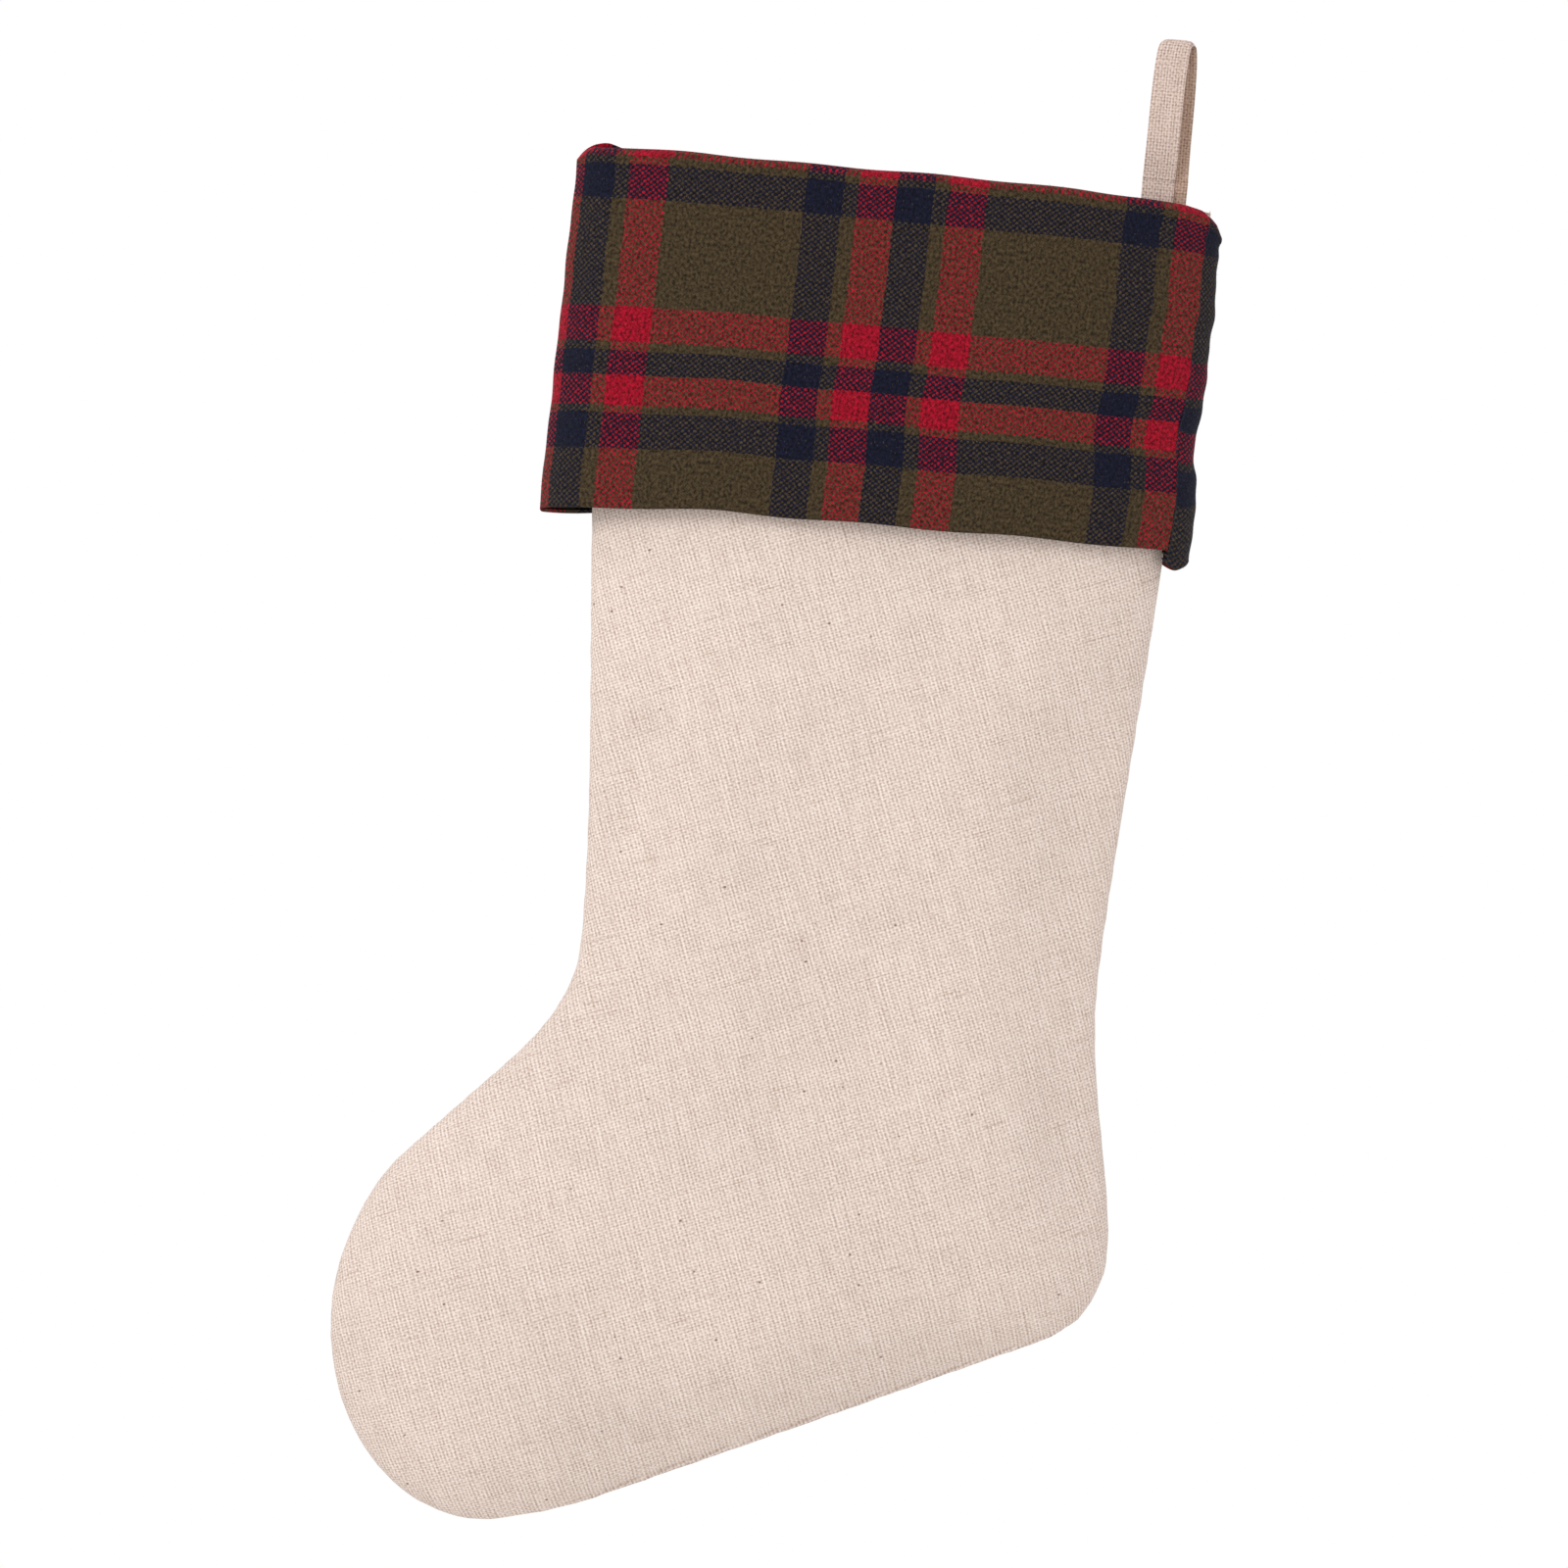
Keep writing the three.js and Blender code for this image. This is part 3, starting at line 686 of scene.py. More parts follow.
def settle(
    piece: Piece, finish: Finish, nodes: tuple[str, ...], bend_at: Bend | None = None
) -> Piece:
    """Dresses a piece, fixes it to the stocking unless it lies across a joint, and hides the
    frame's nodes that it replaces.

    Args:
        piece: The piece, with its place in its mesh.
        finish: What it is made of.
        nodes: The frame's nodes that it replaces.
        bend_at: Given for a piece across a joint, which is then baked in place rather than riding
            on the stocking; where it bends is not read.

    Returns:
        The piece.
    """
    piece.data.materials.clear()
    piece.data.materials.append(finish.material())
    if bend_at:
        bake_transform(piece)
    else:
        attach(piece, Body.STOCKING.value)
    if nodes:
        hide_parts(*nodes)
    LOG.info("%s: %d faces, %s", piece.name, len(piece.data.polygons), finish.name)
    return piece


# ---- Stitches and nap ------------------------------------------------------------------------


@dataclass(frozen=True)
class Repeated:
    """Something small that geometry nodes lay many times over a host."""

    def laid(self, tree: Tree, given: bpy.types.NodeOutputs) -> Socket:
        """Draws up the nodes from the host's geometry to the laid copies."""
        raise NotImplementedError

    def turned(self, tree: Tree, first: Socket, second: Socket) -> Socket:
        """The rotation that points a copy along the sum of two vectors."""
        links = {0: first, 1: second}
        way = add(tree, "ShaderNodeVectorMath", links, operation="ADD").outputs[0]
        return add(tree, "FunctionNodeAlignRotationToVector", {"Vector": way}, axis="Z").outputs[0]

    def tree(self, kinds: dict[str, str]) -> Tree:
        """The node tree, made once.

        Args:
            kinds: The kind of each of its inputs, beside the host's geometry.

        Returns:
            The tree, which ends by making the copies real and dressing them.
        """
        label = type(self).__name__
        found = bpy.data.node_groups.get(label)
        if found:
            return found
        made = bpy.data.node_groups.new(label, "GeometryNodeTree")
        for name, kind in {"Geometry": "Geometry", **kinds}.items():
            made.interface.new_socket(name, in_out="INPUT", socket_type="NodeSocket" + kind)
        made.interface.new_socket("Geometry", in_out="OUTPUT", socket_type="NodeSocketGeometry")
        given = add(made, "NodeGroupInput").outputs
        real = add(made, "GeometryNodeRealizeInstances", {0: self.laid(made, given)})
        links = {"Geometry": real.outputs[0], "Material": given["Finish"]}
        dressed = add(made, "GeometryNodeSetMaterial", links)
        add(made, "NodeGroupOutput", {0: dressed.outputs[0]})
        return made

    def grown(
        self, name: str, host: Piece, finish: Finish, inputs: dict[str, tuple[str, object]]
    ) -> Piece:
        """Runs the node tree on a host, and keeps the result as one plain mesh.

        Args:
            name: The new piece's name.
            host: The object that the tree reads, removed afterwards.
            finish: What the copies are made of.
            inputs: The kind and the value of each of the tree's named inputs.

        Returns:
            The piece.
        """
        inputs = {**inputs, "Finish": ("Material", finish.material())}
        tree = self.tree({label: kind for label, (kind, _) in inputs.items()})
        modifier = host.modifiers.new(tree.name, "NODES")
        modifier.node_group = tree
        sockets = {s.name: s.identifier for s in tree.interface.items_tree if s.in_out == "INPUT"}
        for label, (_, value) in inputs.items():
            modifier[sockets[label]] = value
        graph = bpy.context.evaluated_depsgraph_get()
        mesh = bpy.data.meshes.new_from_object(host.evaluated_get(graph))
        mesh.name = name
        made = linked(name, mesh)
        bpy.data.objects.remove(host)
        return made


@dataclass(frozen=True)
class StitchRun(Repeated):
    """A run of stitches along a line."""

    pitch: float  # from one stitch to the next
    length: float
    radius: float
    slant: tuple[float, float, float] = (0.0, 0.0, 0.0)  # added to the line's direction
    sides: int = 6

    def laid(self, tree: Tree, given: bpy.types.NodeOutputs) -> Socket:
        """Lays a stitch at every pitch along the host's edges."""
        line = add(tree, "GeometryNodeMeshToCurve", {"Mesh": given["Geometry"]}).outputs[0]
        links = {"Curve": line, "Length": given["Pitch"]}
        spaced = add(tree, "GeometryNodeResampleCurve", links, mode="LENGTH").outputs[0]
        tangent = add(tree, "GeometryNodeInputTangent").outputs[0]
        links = {"Segments": given["Sides"], "Rings": 5, "Radius": 1.0}
        ball = add(tree, "GeometryNodeMeshUVSphere", links).outputs[0]
        half = calc(tree, "MULTIPLY", given["Stitch length"], 0.5)
        links = {0: given["Thread radius"], 1: given["Thread radius"], 2: half}
        size = add(tree, "ShaderNodeCombineXYZ", links).outputs[0]
        smooth = add(tree, "GeometryNodeSetShadeSmooth", {0: ball}).outputs[0]
        stitch = add(tree, "GeometryNodeTransform", {"Geometry": smooth, "Scale": size}).outputs[0]
        turn = self.turned(tree, tangent, given["Slant"])
        links = {"Points": spaced, "Instance": stitch, "Rotation": turn}
        return add(tree, "GeometryNodeInstanceOnPoints", links).outputs[0]

    def sew(
        self, name: str, line: Array, thread: Finish, behind: float = SEAM_PLANE
    ) -> Piece:
        """Sews along a line and returns the stitches as one plain mesh.

        Args:
            name: The piece's name.
            line: Upright points.
            thread: The thread's finish.
            behind: How far the line hangs behind the loop.

        Returns:
            The piece.
        """
        edges = [(i, i + 1) for i in range(len(line) - 1)]
        host = linked(name + "_line", mesh_of(name + "_line", hung(line, behind), edges, []))
        return self.grown(name, host, thread, {
            "Pitch": ("Float", self.pitch * MM), "Stitch length": ("Float", self.length * MM),
            "Thread radius": ("Float", self.radius * MM), "Slant": ("Vector", self.slant),
            "Sides": ("Int", self.sides),
        })


@dataclass(frozen=True)
class WoolNap(Repeated):
    """Fibre ends brushed up on the flannel.

    Real nap has hundreds of ends to a square millimetre; only the longest ones are drawn.
    """

    per_square_metre: float = 95000.0
    length: float = 1.2
    radius: float = 0.04
    lean: float = 1.1  # how far an end leans for each unit that it stands up
    shortest: float = 0.45  # the shortest end as a share of the longest
    seed: int = 7

    def laid(self, tree: Tree, given: bpy.types.NodeOutputs) -> Socket:
        """Scatters leaning fibre ends over the outer face of the host."""
        links = {0: "cloth"}
        cloth = add(tree, "GeometryNodeInputNamedAttribute", links, data_type="FLOAT_VECTOR")
        inside = add(tree, "ShaderNodeSeparateXYZ", {0: cloth.outputs[0]}).outputs[2]
        links = {"Mesh": given["Geometry"], "Selection": calc(tree, "LESS_THAN", inside, 0.5)}
        links |= {"Density": given["Density"], "Seed": given["Seed"]}
        spots = add(tree, "GeometryNodeDistributePointsOnFaces", links).outputs
        links = {0: (-1.0, -1.0, -1.0), 1: (1.0, 1.0, 1.0), "Seed": given["Seed"]}
        stray = add(tree, "FunctionNodeRandomValue", links, data_type="FLOAT_VECTOR").outputs[0]
        links = {0: stray, "Scale": given["Lean"]}
        aside = add(tree, "ShaderNodeVectorMath", links, operation="SCALE").outputs[0]
        links = {"Vertices": 3, "Side Segments": 1, "Fill Segments": 1, "Radius Top": 0.0}
        links |= {"Radius Bottom": given["Radius"], "Depth": given["Length"]}
        end = add(tree, "GeometryNodeMeshCone", links, fill_type="NGON").outputs[0]
        links = {2: self.shortest, 3: 1.0, "Seed": given["Seed"]}
        long = add(tree, "FunctionNodeRandomValue", links, data_type="FLOAT").outputs[1]
        turn = self.turned(tree, spots["Normal"], aside)
        links = {"Points": spots[0], "Instance": end, "Rotation": turn, "Scale": long}
        return add(tree, "GeometryNodeInstanceOnPoints", links).outputs[0]

    def grow(self, name: str, cloth: Piece, wool: Finish) -> Piece:
        """Grows the nap on a piece of cloth, which is left as it is."""
        return self.grown(name, linked(name + "_host", cloth.data), wool, {
            "Density": ("Float", self.per_square_metre), "Length": ("Float", self.length * MM),
            "Radius": ("Float", self.radius * MM), "Lean": ("Float", self.lean),
            "Seed": ("Int", self.seed),
        })


# ---- Leg and foot ----------------------------------------------------------------------------


@dataclass(frozen=True)
class LegPattern:
    """The sewn outline of the leg and foot, in the seam plane."""

    mouth_heel: tuple[float, float] = (18.0, LEG_TOP_Z)
    mouth_width: float = 225.0
    hem_width: float = 211.5
    ankle_width: float = 191.0
    ankle_z: float = -348.0
    ankle_heel_x: float = 3.0
    hem_heel_x: float = 12.4
    heel: tuple[float, float] = (16.0, -446.0)
    foot_length: float = 283.0
    toe_z: float = -490.0
    toe_tip_share: float = 0.9995  # share of each edge at which the last row closes the toe
    # Corners of the outline, each measured from the point named first.
    heel_to_sole: tuple[float, float] = (-20.0, -35.0)
    ankle_to_instep: tuple[float, float] = (-25.0, -50.0)
    toe_to_top: tuple[float, float] = (21.0, 57.0)
    toe_to_ball: tuple[float, float] = (62.0, -75.0)
    ball_to_sole: tuple[float, float] = (45.0, 12.5)

    def edges(self) -> tuple[Array, Array]:
        """The toe side and the heel side, each from the mouth to the toe, as fine polylines."""
        mouth_heel = pair(*self.mouth_heel)
        mouth_toe = mouth_heel - pair(self.mouth_width, 0)
        hem_heel = pair(self.hem_heel_x, HEM_Z)
        hem_toe = pair(self.hem_heel_x - self.hem_width, HEM_Z)
        ankle_heel = pair(self.ankle_heel_x, self.ankle_z)
        ankle_toe = ankle_heel - pair(self.ankle_width, 0)
        heel = pair(*self.heel)
        sole_end = heel + self.heel_to_sole
        toe = pair(heel[0] - self.foot_length, self.toe_z)
        instep, toe_top = ankle_toe + self.ankle_to_instep, toe + self.toe_to_top
        ball = toe + self.toe_to_ball
        sole_start = ball + self.ball_to_sole
        down, up, to_toe = pair(0, -1), pair(0, 1), pair(-1, 0)
        on_instep, on_sole = toward(instep, toe_top), toward(sole_end, sole_start)
        toe_side = [
            mouth_toe[None], hem_toe[None],
            bend(hem_toe, toward(mouth_toe, hem_toe), 45, ankle_toe, down, 50),
            bend(ankle_toe, down, 22, instep, on_instep, 18),
            toe_top[None],
            bend(toe_top, on_instep, 17, toe, down, 20),
        ]
        heel_side = [
            mouth_heel[None], hem_heel[None],
            bend(hem_heel, toward(mouth_heel, hem_heel), 50, ankle_heel, down, 30),
            bend(ankle_heel, down, 37, heel, down, 25),
            bend(heel, down, 16, sole_end, on_sole, 10),
            sole_start[None],
            bend(sole_start, on_sole, 16, ball, to_toe, 12),
            bend(ball, to_toe, 37, toe, up, 40),
        ]
        return np.concatenate(toe_side), np.concatenate(heel_side)

    def stepped(self, line: Array, inset: float, turn: int, rows: int) -> Array:
        """One edge, evenly spaced and stepped in from the outline.

        Args:
            line: The edge's fine polyline.
            inset: How far in.
            turn: 1 for the toe side and -1 for the heel side.
            rows: Number of steps along it.

        Returns:
            The points, the first of them level with the mouth.
        """
        shares = np.linspace(0, self.toe_tip_share, rows + 1)
        nearby = 0.002  # share of the edge over which its direction is measured
        ahead = resampled(line, np.minimum(shares + nearby, 1.0))
        behind = resampled(line, np.maximum(shares - nearby, 0.0))
        along = (ahead - behind) / np.linalg.norm(ahead - behind, axis=1)[:, None]
        inward = np.stack([-along[:, 1], along[:, 0]], axis=1) * turn
        inward[0] = (1 / inward[0, 0], 0.0)
        return resampled(line, shares) + inward * inset

    def outline(self, inset: float, rows: int) -> tuple[Array, Array, Array]:
        """Both edges stepped in by `inset`, from the mouth to the toe, and the ring of the two."""
        toe_side, heel_side = self.edges()
        left = self.stepped(toe_side, inset, 1, rows)
        right = self.stepped(heel_side, inset, -1, rows)
        return left, right, np.concatenate([left, right[::-1]])

    def cut_area(self, seam_allowance: float) -> tuple[float, float, float]:
        """The cut panel's width, length and area in metres, with a seam allowance all round."""
        ring = self.outline(-seam_allowance, 200)[2]
        x, z = ring.T
        area = abs(float(np.dot(x, np.roll(z, 1)) - np.dot(z, np.roll(x, 1)))) / 2
        width, length = np.ptp(ring, axis=0)
        return width * MM, length * MM, area * MM * MM


def nearest_on(seam: Array, points: Array) -> tuple[Array, Array]:
    """Each point's distance to a polyline, and the nearest place on it.

    Args:
        seam: The polyline.
        points: The points, in any grid, with x and z in the last axis.

    Returns:
        Distances and places.
    """
    a, b = seam[:-1], seam[1:]
    d = b - a
    length = np.maximum((d * d).sum(1), 1e-12)
    flat = points.reshape(-1, 2)
    best = np.full(len(flat), np.inf)
    place = np.zeros_like(flat)
    batch = 2000  # points at a time, to bound the memory
    for k in range(0, len(flat), batch):
        p = flat[k : k + batch, None]
        share = np.clip(((p - a) * d).sum(2) / length, 0, 1)
        near = a + share[..., None] * d
        away = np.linalg.norm(p - near, axis=2)
        i = away.argmin(axis=1)
        rows = np.arange(len(i))
        best[k : k + batch], place[k : k + batch] = away[rows, i], near[rows, i]
    return best.reshape(points.shape[:-1]), place.reshape(points.shape)


def rise(distance: Array, roll: float) -> Array:
    """Share of a panel's full depth at a distance from its seam: a quarter ellipse, then flat."""
    return np.sqrt(1 - (1 - np.clip(distance / roll, 0, 1)) ** 2)


def crown(side: Side, depth: float, distance: Array, seam_gap: float = 0.7) -> Array:
    """A panel's distance from the seam plane where it is `distance` from its seam."""
    return side.facing * (seam_gap + (depth - seam_gap) * rise(distance, side.roll))


@dataclass
class Swelling:
    """How the wadding swells the leg and foot, from a cloth simulation with a little air inside."""

    rows: int = 96
    columns: int = 34
    pressure: float = 4.0
    slack: float = 0.012
    frames: int = 20
    cap: float = 5.0
    held_over_hem: float = 25.0  # the cuff holds the leg from this far over its hem
    moved: dict[Side, Array] = field(default_factory=dict)

    def simulate(self, pattern: LegPattern) -> None:
        """Blows up a coarse leg whose seam and mouth are held, and keeps how far it moved."""
        left, right, ring = pattern.outline(0.0, self.rows)
        flat = left[:, None] + (right - left)[:, None] * cosine_shares(self.columns)[None, :, None]
        distance, _ = nearest_on(ring, flat)
        number = np.arange(distance.size).reshape(distance.shape)
        back = number + number.size
        back[:, 0], back[:, -1], back[-1] = number[:, 0], number[:, -1], number[-1]
        quads = [grid_quads(number), grid_quads(back)[:, ::-1], strip_quads(number[0], back[0])]
        faces = [list(dict.fromkeys(quad)) for quad in np.concatenate(quads).tolist()]
        panels = (crown(side, side.depth, distance, seam_gap=0.0) for side in Side)
        points = np.concatenate([with_depth(flat, y).reshape(-1, 3) for y in panels])
        mesh = mesh_of("swelling", hung(points), [], [quad for quad in faces if len(quad) > 2])
        mesh.update()
        under_cuff = number[flat[..., 1] > HEM_Z + self.held_over_hem]
        firm = {*number[:, 0], *number[:, -1], *number[-1], *under_cuff}
        firm |= {*(under_cuff + number.size)}
        shift = (self.blown(linked("swelling", mesh), firm) - hung(points)) / MM
        # Back from the hanging lean to the upright position.
        cos, sin = math.cos(LEAN), math.sin(LEAN)
        x, y, z = shift.T
        shift = np.stack([x * cos - z * sin, y, z * cos + x * sin], axis=1)
        far = np.linalg.norm(shift, axis=1, keepdims=True)
        shift *= np.minimum(1.0, self.cap / np.maximum(far, 1e-9))
        fade = smoothstep(HEM_Z - 8, HEM_Z - 75, flat[..., 1])[..., None]  # still under the cuff
        for side, part in zip(Side, np.split(shift, 2)):
            part = part.reshape(*distance.shape, 3).copy()
            if side is Side.BACK:
                part[:, 0], part[:, -1], part[-1] = 0.0, 0.0, 0.0
            for _ in range(2):
                part[1:-1] = (part[:-2] + 2 * part[1:-1] + part[2:]) / 4
                part[:, 1:-1] = (part[:, :-2] + 2 * part[:, 1:-1] + part[:, 2:]) / 4
            self.moved[side] = part * fade
        LOG.info("swelling: moved up to %.1f mm", float(far.max()))

    def blown(self, air: Piece, firm: set[int]) -> Array:
        """Runs the simulation.

        Args:
            air: The closed leg, removed afterwards.
            firm: Numbers of the points that are held.

        Returns:
            Its points after the last frame, in metres.
        """
        air.vertex_groups.new(name="held").add([int(i) for i in firm], 1.0, "REPLACE")
        settings = air.modifiers.new("cloth", "CLOTH").settings
        settings.quality = 6
        settings.mass = 0.3
        settings.use_pressure = True
        settings.uniform_pressure_force = self.pressure
        settings.vertex_group_mass = "held"
        settings.shrink_min = -self.slack
        settings.effector_weights.gravity = 0.0
        for step in range(1, self.frames + 1):
            bpy.context.scene.frame_set(step)
        result = air.evaluated_get(bpy.context.evaluated_depsgraph_get()).to_mesh()
        after = np.zeros(len(result.vertices) * 3, np.float32)
        result.vertices.foreach_get("co", after)
        bpy.context.scene.frame_set(1)
        bpy.data.objects.remove(air)
        return after.reshape(-1, 3)

    def at(self, side: Side, rows: int, columns: int) -> Array:
        """How far a finer grid of the same panel moves, rows by columns by three."""
        if side not in self.moved:
            return np.zeros((rows + 1, columns + 1, 3))
        coarse = self.moved[side]
        i = np.linspace(0, self.rows, rows + 1)
        j = np.linspace(0, self.columns, columns + 1)
        i0 = np.minimum(i.astype(int), self.rows - 1)
        j0 = np.minimum(j.astype(int), self.columns - 1)
        s, t = eased_share(i - i0)[:, None, None], eased_share(j - j0)[None, :, None]
        top = coarse[i0][:, j0] * (1 - t) + coarse[i0][:, j0 + 1] * t
        low = coarse[i0 + 1][:, j0] * (1 - t) + coarse[i0 + 1][:, j0 + 1] * t
        return top * (1 - s) + low * s


def eased_share(t: Array) -> Array:
    """A share that eases a little at both ends."""
    return t * 0.6 + 0.4 * t * t * (3 - 2 * t)


@dataclass
class LegAndFoot:
    """The linen, wadding and lining of the leg and foot, and the seams that join them."""

    pattern: LegPattern = field(default_factory=LegPattern)
    swelling: Swelling = field(default_factory=Swelling)
    steps: tuple[int, int] = (190, 78)  # rows and columns of the linen
    inner_steps: tuple[int, int] = (110, 48)  # rows and columns of the layers inside it
    seam_allowance: float = 10.0
    seam_closed: float = 0.58  # how far the linen's edges close up on each other at the seam
    seam_held: float = 22.0  # up to this far from the seam, swelling leaves the outline in shape
    sole_groove: float = 5.6  # depth of the seam's groove along the sole
    groove_width: float = 1.2
    sole_roll: float = 2.7  # the back panel rolls this far past the front one along the sole
    pucker: float = 0.18  # how far the stitches draw the edge in and out
    dimple: float = 0.55  # depth of the soft hollows that handling leaves in the padding

    def build(self) -> None:
        """Makes and dresses every piece of the leg."""
        self.swelling.simulate(self.pattern)
        width, length, area = self.pattern.cut_area(self.seam_allowance)
        LOG.info("cut panel %.3f by %.3f m, area %.4f m2", width, length, area)
        under_linen = LINEN + GAP
        under_wadding = under_linen + (WADDING + GAP)
        for side in Side:
            for name, node, finish, slot, inset, thick, steps in (
                ("linen_", "outer_", LINEN_CANVAS, "linen_canvas", 0.0, LINEN, self.steps),
                ("wadding_pad_", "wadding_", WHITE_WADDING, "wadding", under_linen, WADDING,
                 self.inner_steps),
                ("cotton_lining_", "lining_", COTTON_LINING, "cotton_lining", under_wadding,
                 LINING, self.inner_steps),
            ):
                outer, cloth = self.face(side, inset, steps)
                inner, _ = self.face(side, inset + thick, steps)
                piece = sheet_of_cloth(name + side.word, outer, inner, cloth)
                settle(piece, finish, (node + side.word,))
        self.sew()

    def face(self, side: Side, inset: float, steps: tuple[int, int]) -> tuple[Array, Array]:
        """One face of a layer, and where its points lie on the cut cloth.

        Args:
            side: The half.
            inset: How far the face lies inside the outermost one.
            steps: Steps from the mouth to the toe, and steps across.

        Returns:
            The face's points and their place on the cloth.
        """
        left, right, ring = self.pattern.outline(inset, steps[0])
        flat = left[:, None] + (right - left)[:, None] * cosine_shares(steps[1])[None, :, None]
        distance, near = nearest_on(ring, flat)
        depth = side.depth - inset
        y = self.eased(crown(side, depth, distance), distance)
        if inset <= LINEN:
            y = y - side.facing * self.seam_closed * np.exp(-distance / self.groove_width)
        y = y + side.facing * self.hollows(side, flat) * smoothstep(4, 40, distance)
        out = (near - flat) / np.maximum(distance, 1e-6)[..., None]
        for edge, inner in ((0, 1), (-1, -2)):
            step = flat[:, edge] - flat[:, inner]
            out[:, edge] = step / np.linalg.norm(step, axis=1)[:, None]
        cloth = flat + out * self.roll_length(side, depth, distance)[..., None]
        moved = flat - out * self.seam_shift(side, near, distance)[..., None]
        swell = self.swelling.at(side, *steps)
        swell[..., ::2] *= smoothstep(0, self.seam_held, distance)[..., None]
        return with_depth(moved, y) + swell, cloth

    def eased(self, y: Array, distance: Array) -> Array:
        """The depth with the crease along the middle of the foot smoothed away."""
        free = smoothstep(18, 45, distance)[1:-1, 1:-1]
        eased = y.copy()
        for _ in range(60):
            mean = (eased[:-2, 1:-1] + eased[2:, 1:-1] + eased[1:-1, :-2] + eased[1:-1, 2:]) / 4
            eased[1:-1, 1:-1] += free * 0.8 * (mean - eased[1:-1, 1:-1])
        return eased

    def hollows(self, side: Side, flat: Array) -> Array:
        """Slow hollows and swells over the padding, other ones on each half."""
        x, z = flat[..., 0] + 31 * side.facing, flat[..., 1]
        waves = np.sin(x / 23 + z / 61) * np.sin(z / 37 - x / 90)
        waves = waves + 0.6 * np.sin(x / 41 - z / 29 + 1.3) + 0.35 * np.sin(x / 14 + z / 17)
        return self.dimple * waves

    def roll_length(self, side: Side, depth: float, distance: Array) -> Array:
        """How much longer the cloth is over its rolled edge than the roll is wide."""
        t = side.roll * cosine_shares(400) ** 1.5
        path = path_length(np.stack([t, depth * rise(t, side.roll)], axis=1))
        return np.interp(distance, t, (path[-1] - path) - (side.roll - t))

    def seam_shift(self, side: Side, near: Array, distance: Array) -> Array:
        """How far the seam's edge sits inside the outline: at the sole the back rolls past it."""
        x, z = near[..., 0], near[..., 1]
        sole = smoothstep(-462, -482, z) * smoothstep(-215, -150, x) * smoothstep(10, -6, x)
        pucker = self.pucker * np.sin(x / 1.9) * np.sin(z / 2.3) * bump(0, 5, distance)
        roll = self.sole_roll if side is Side.FRONT else 0.0
        groove = (self.sole_groove - roll) * np.clip(1 - distance / self.groove_width, 0, 1) ** 2
        return sole * (roll * np.exp(-distance / 7) + groove) + pucker

    def sew(self) -> None:
        """The seams round the leg and foot, in the linen and in the lining."""
        for name, node, inset, radius in (
            ("body_seam_stitches", "body_seam_thread", LINEN / 2, 0.28),
            ("lining_seam_stitches", "lining_seam_thread", WALL - LINING / 2, 0.2),
        ):
            left, right, _ = self.pattern.outline(inset, 300)
            inward = (left - right) / np.linalg.norm(left - right, axis=1)[:, None]
            shift = self.seam_shift(Side.BACK, right, np.zeros(len(right)))
            ring = np.concatenate([left, (right + inward * shift[:, None])[::-1]])
            run = StitchRun(pitch=2.8, length=2.5, radius=radius, slant=(0.0, 0.25, 0.0))
            piece = run.sew(name, with_depth(ring, np.zeros(len(ring))), NATURAL_THREAD)
            settle(piece, NATURAL_THREAD, (node,))


# ---- Cuff ------------------------------------------------------------------------------------


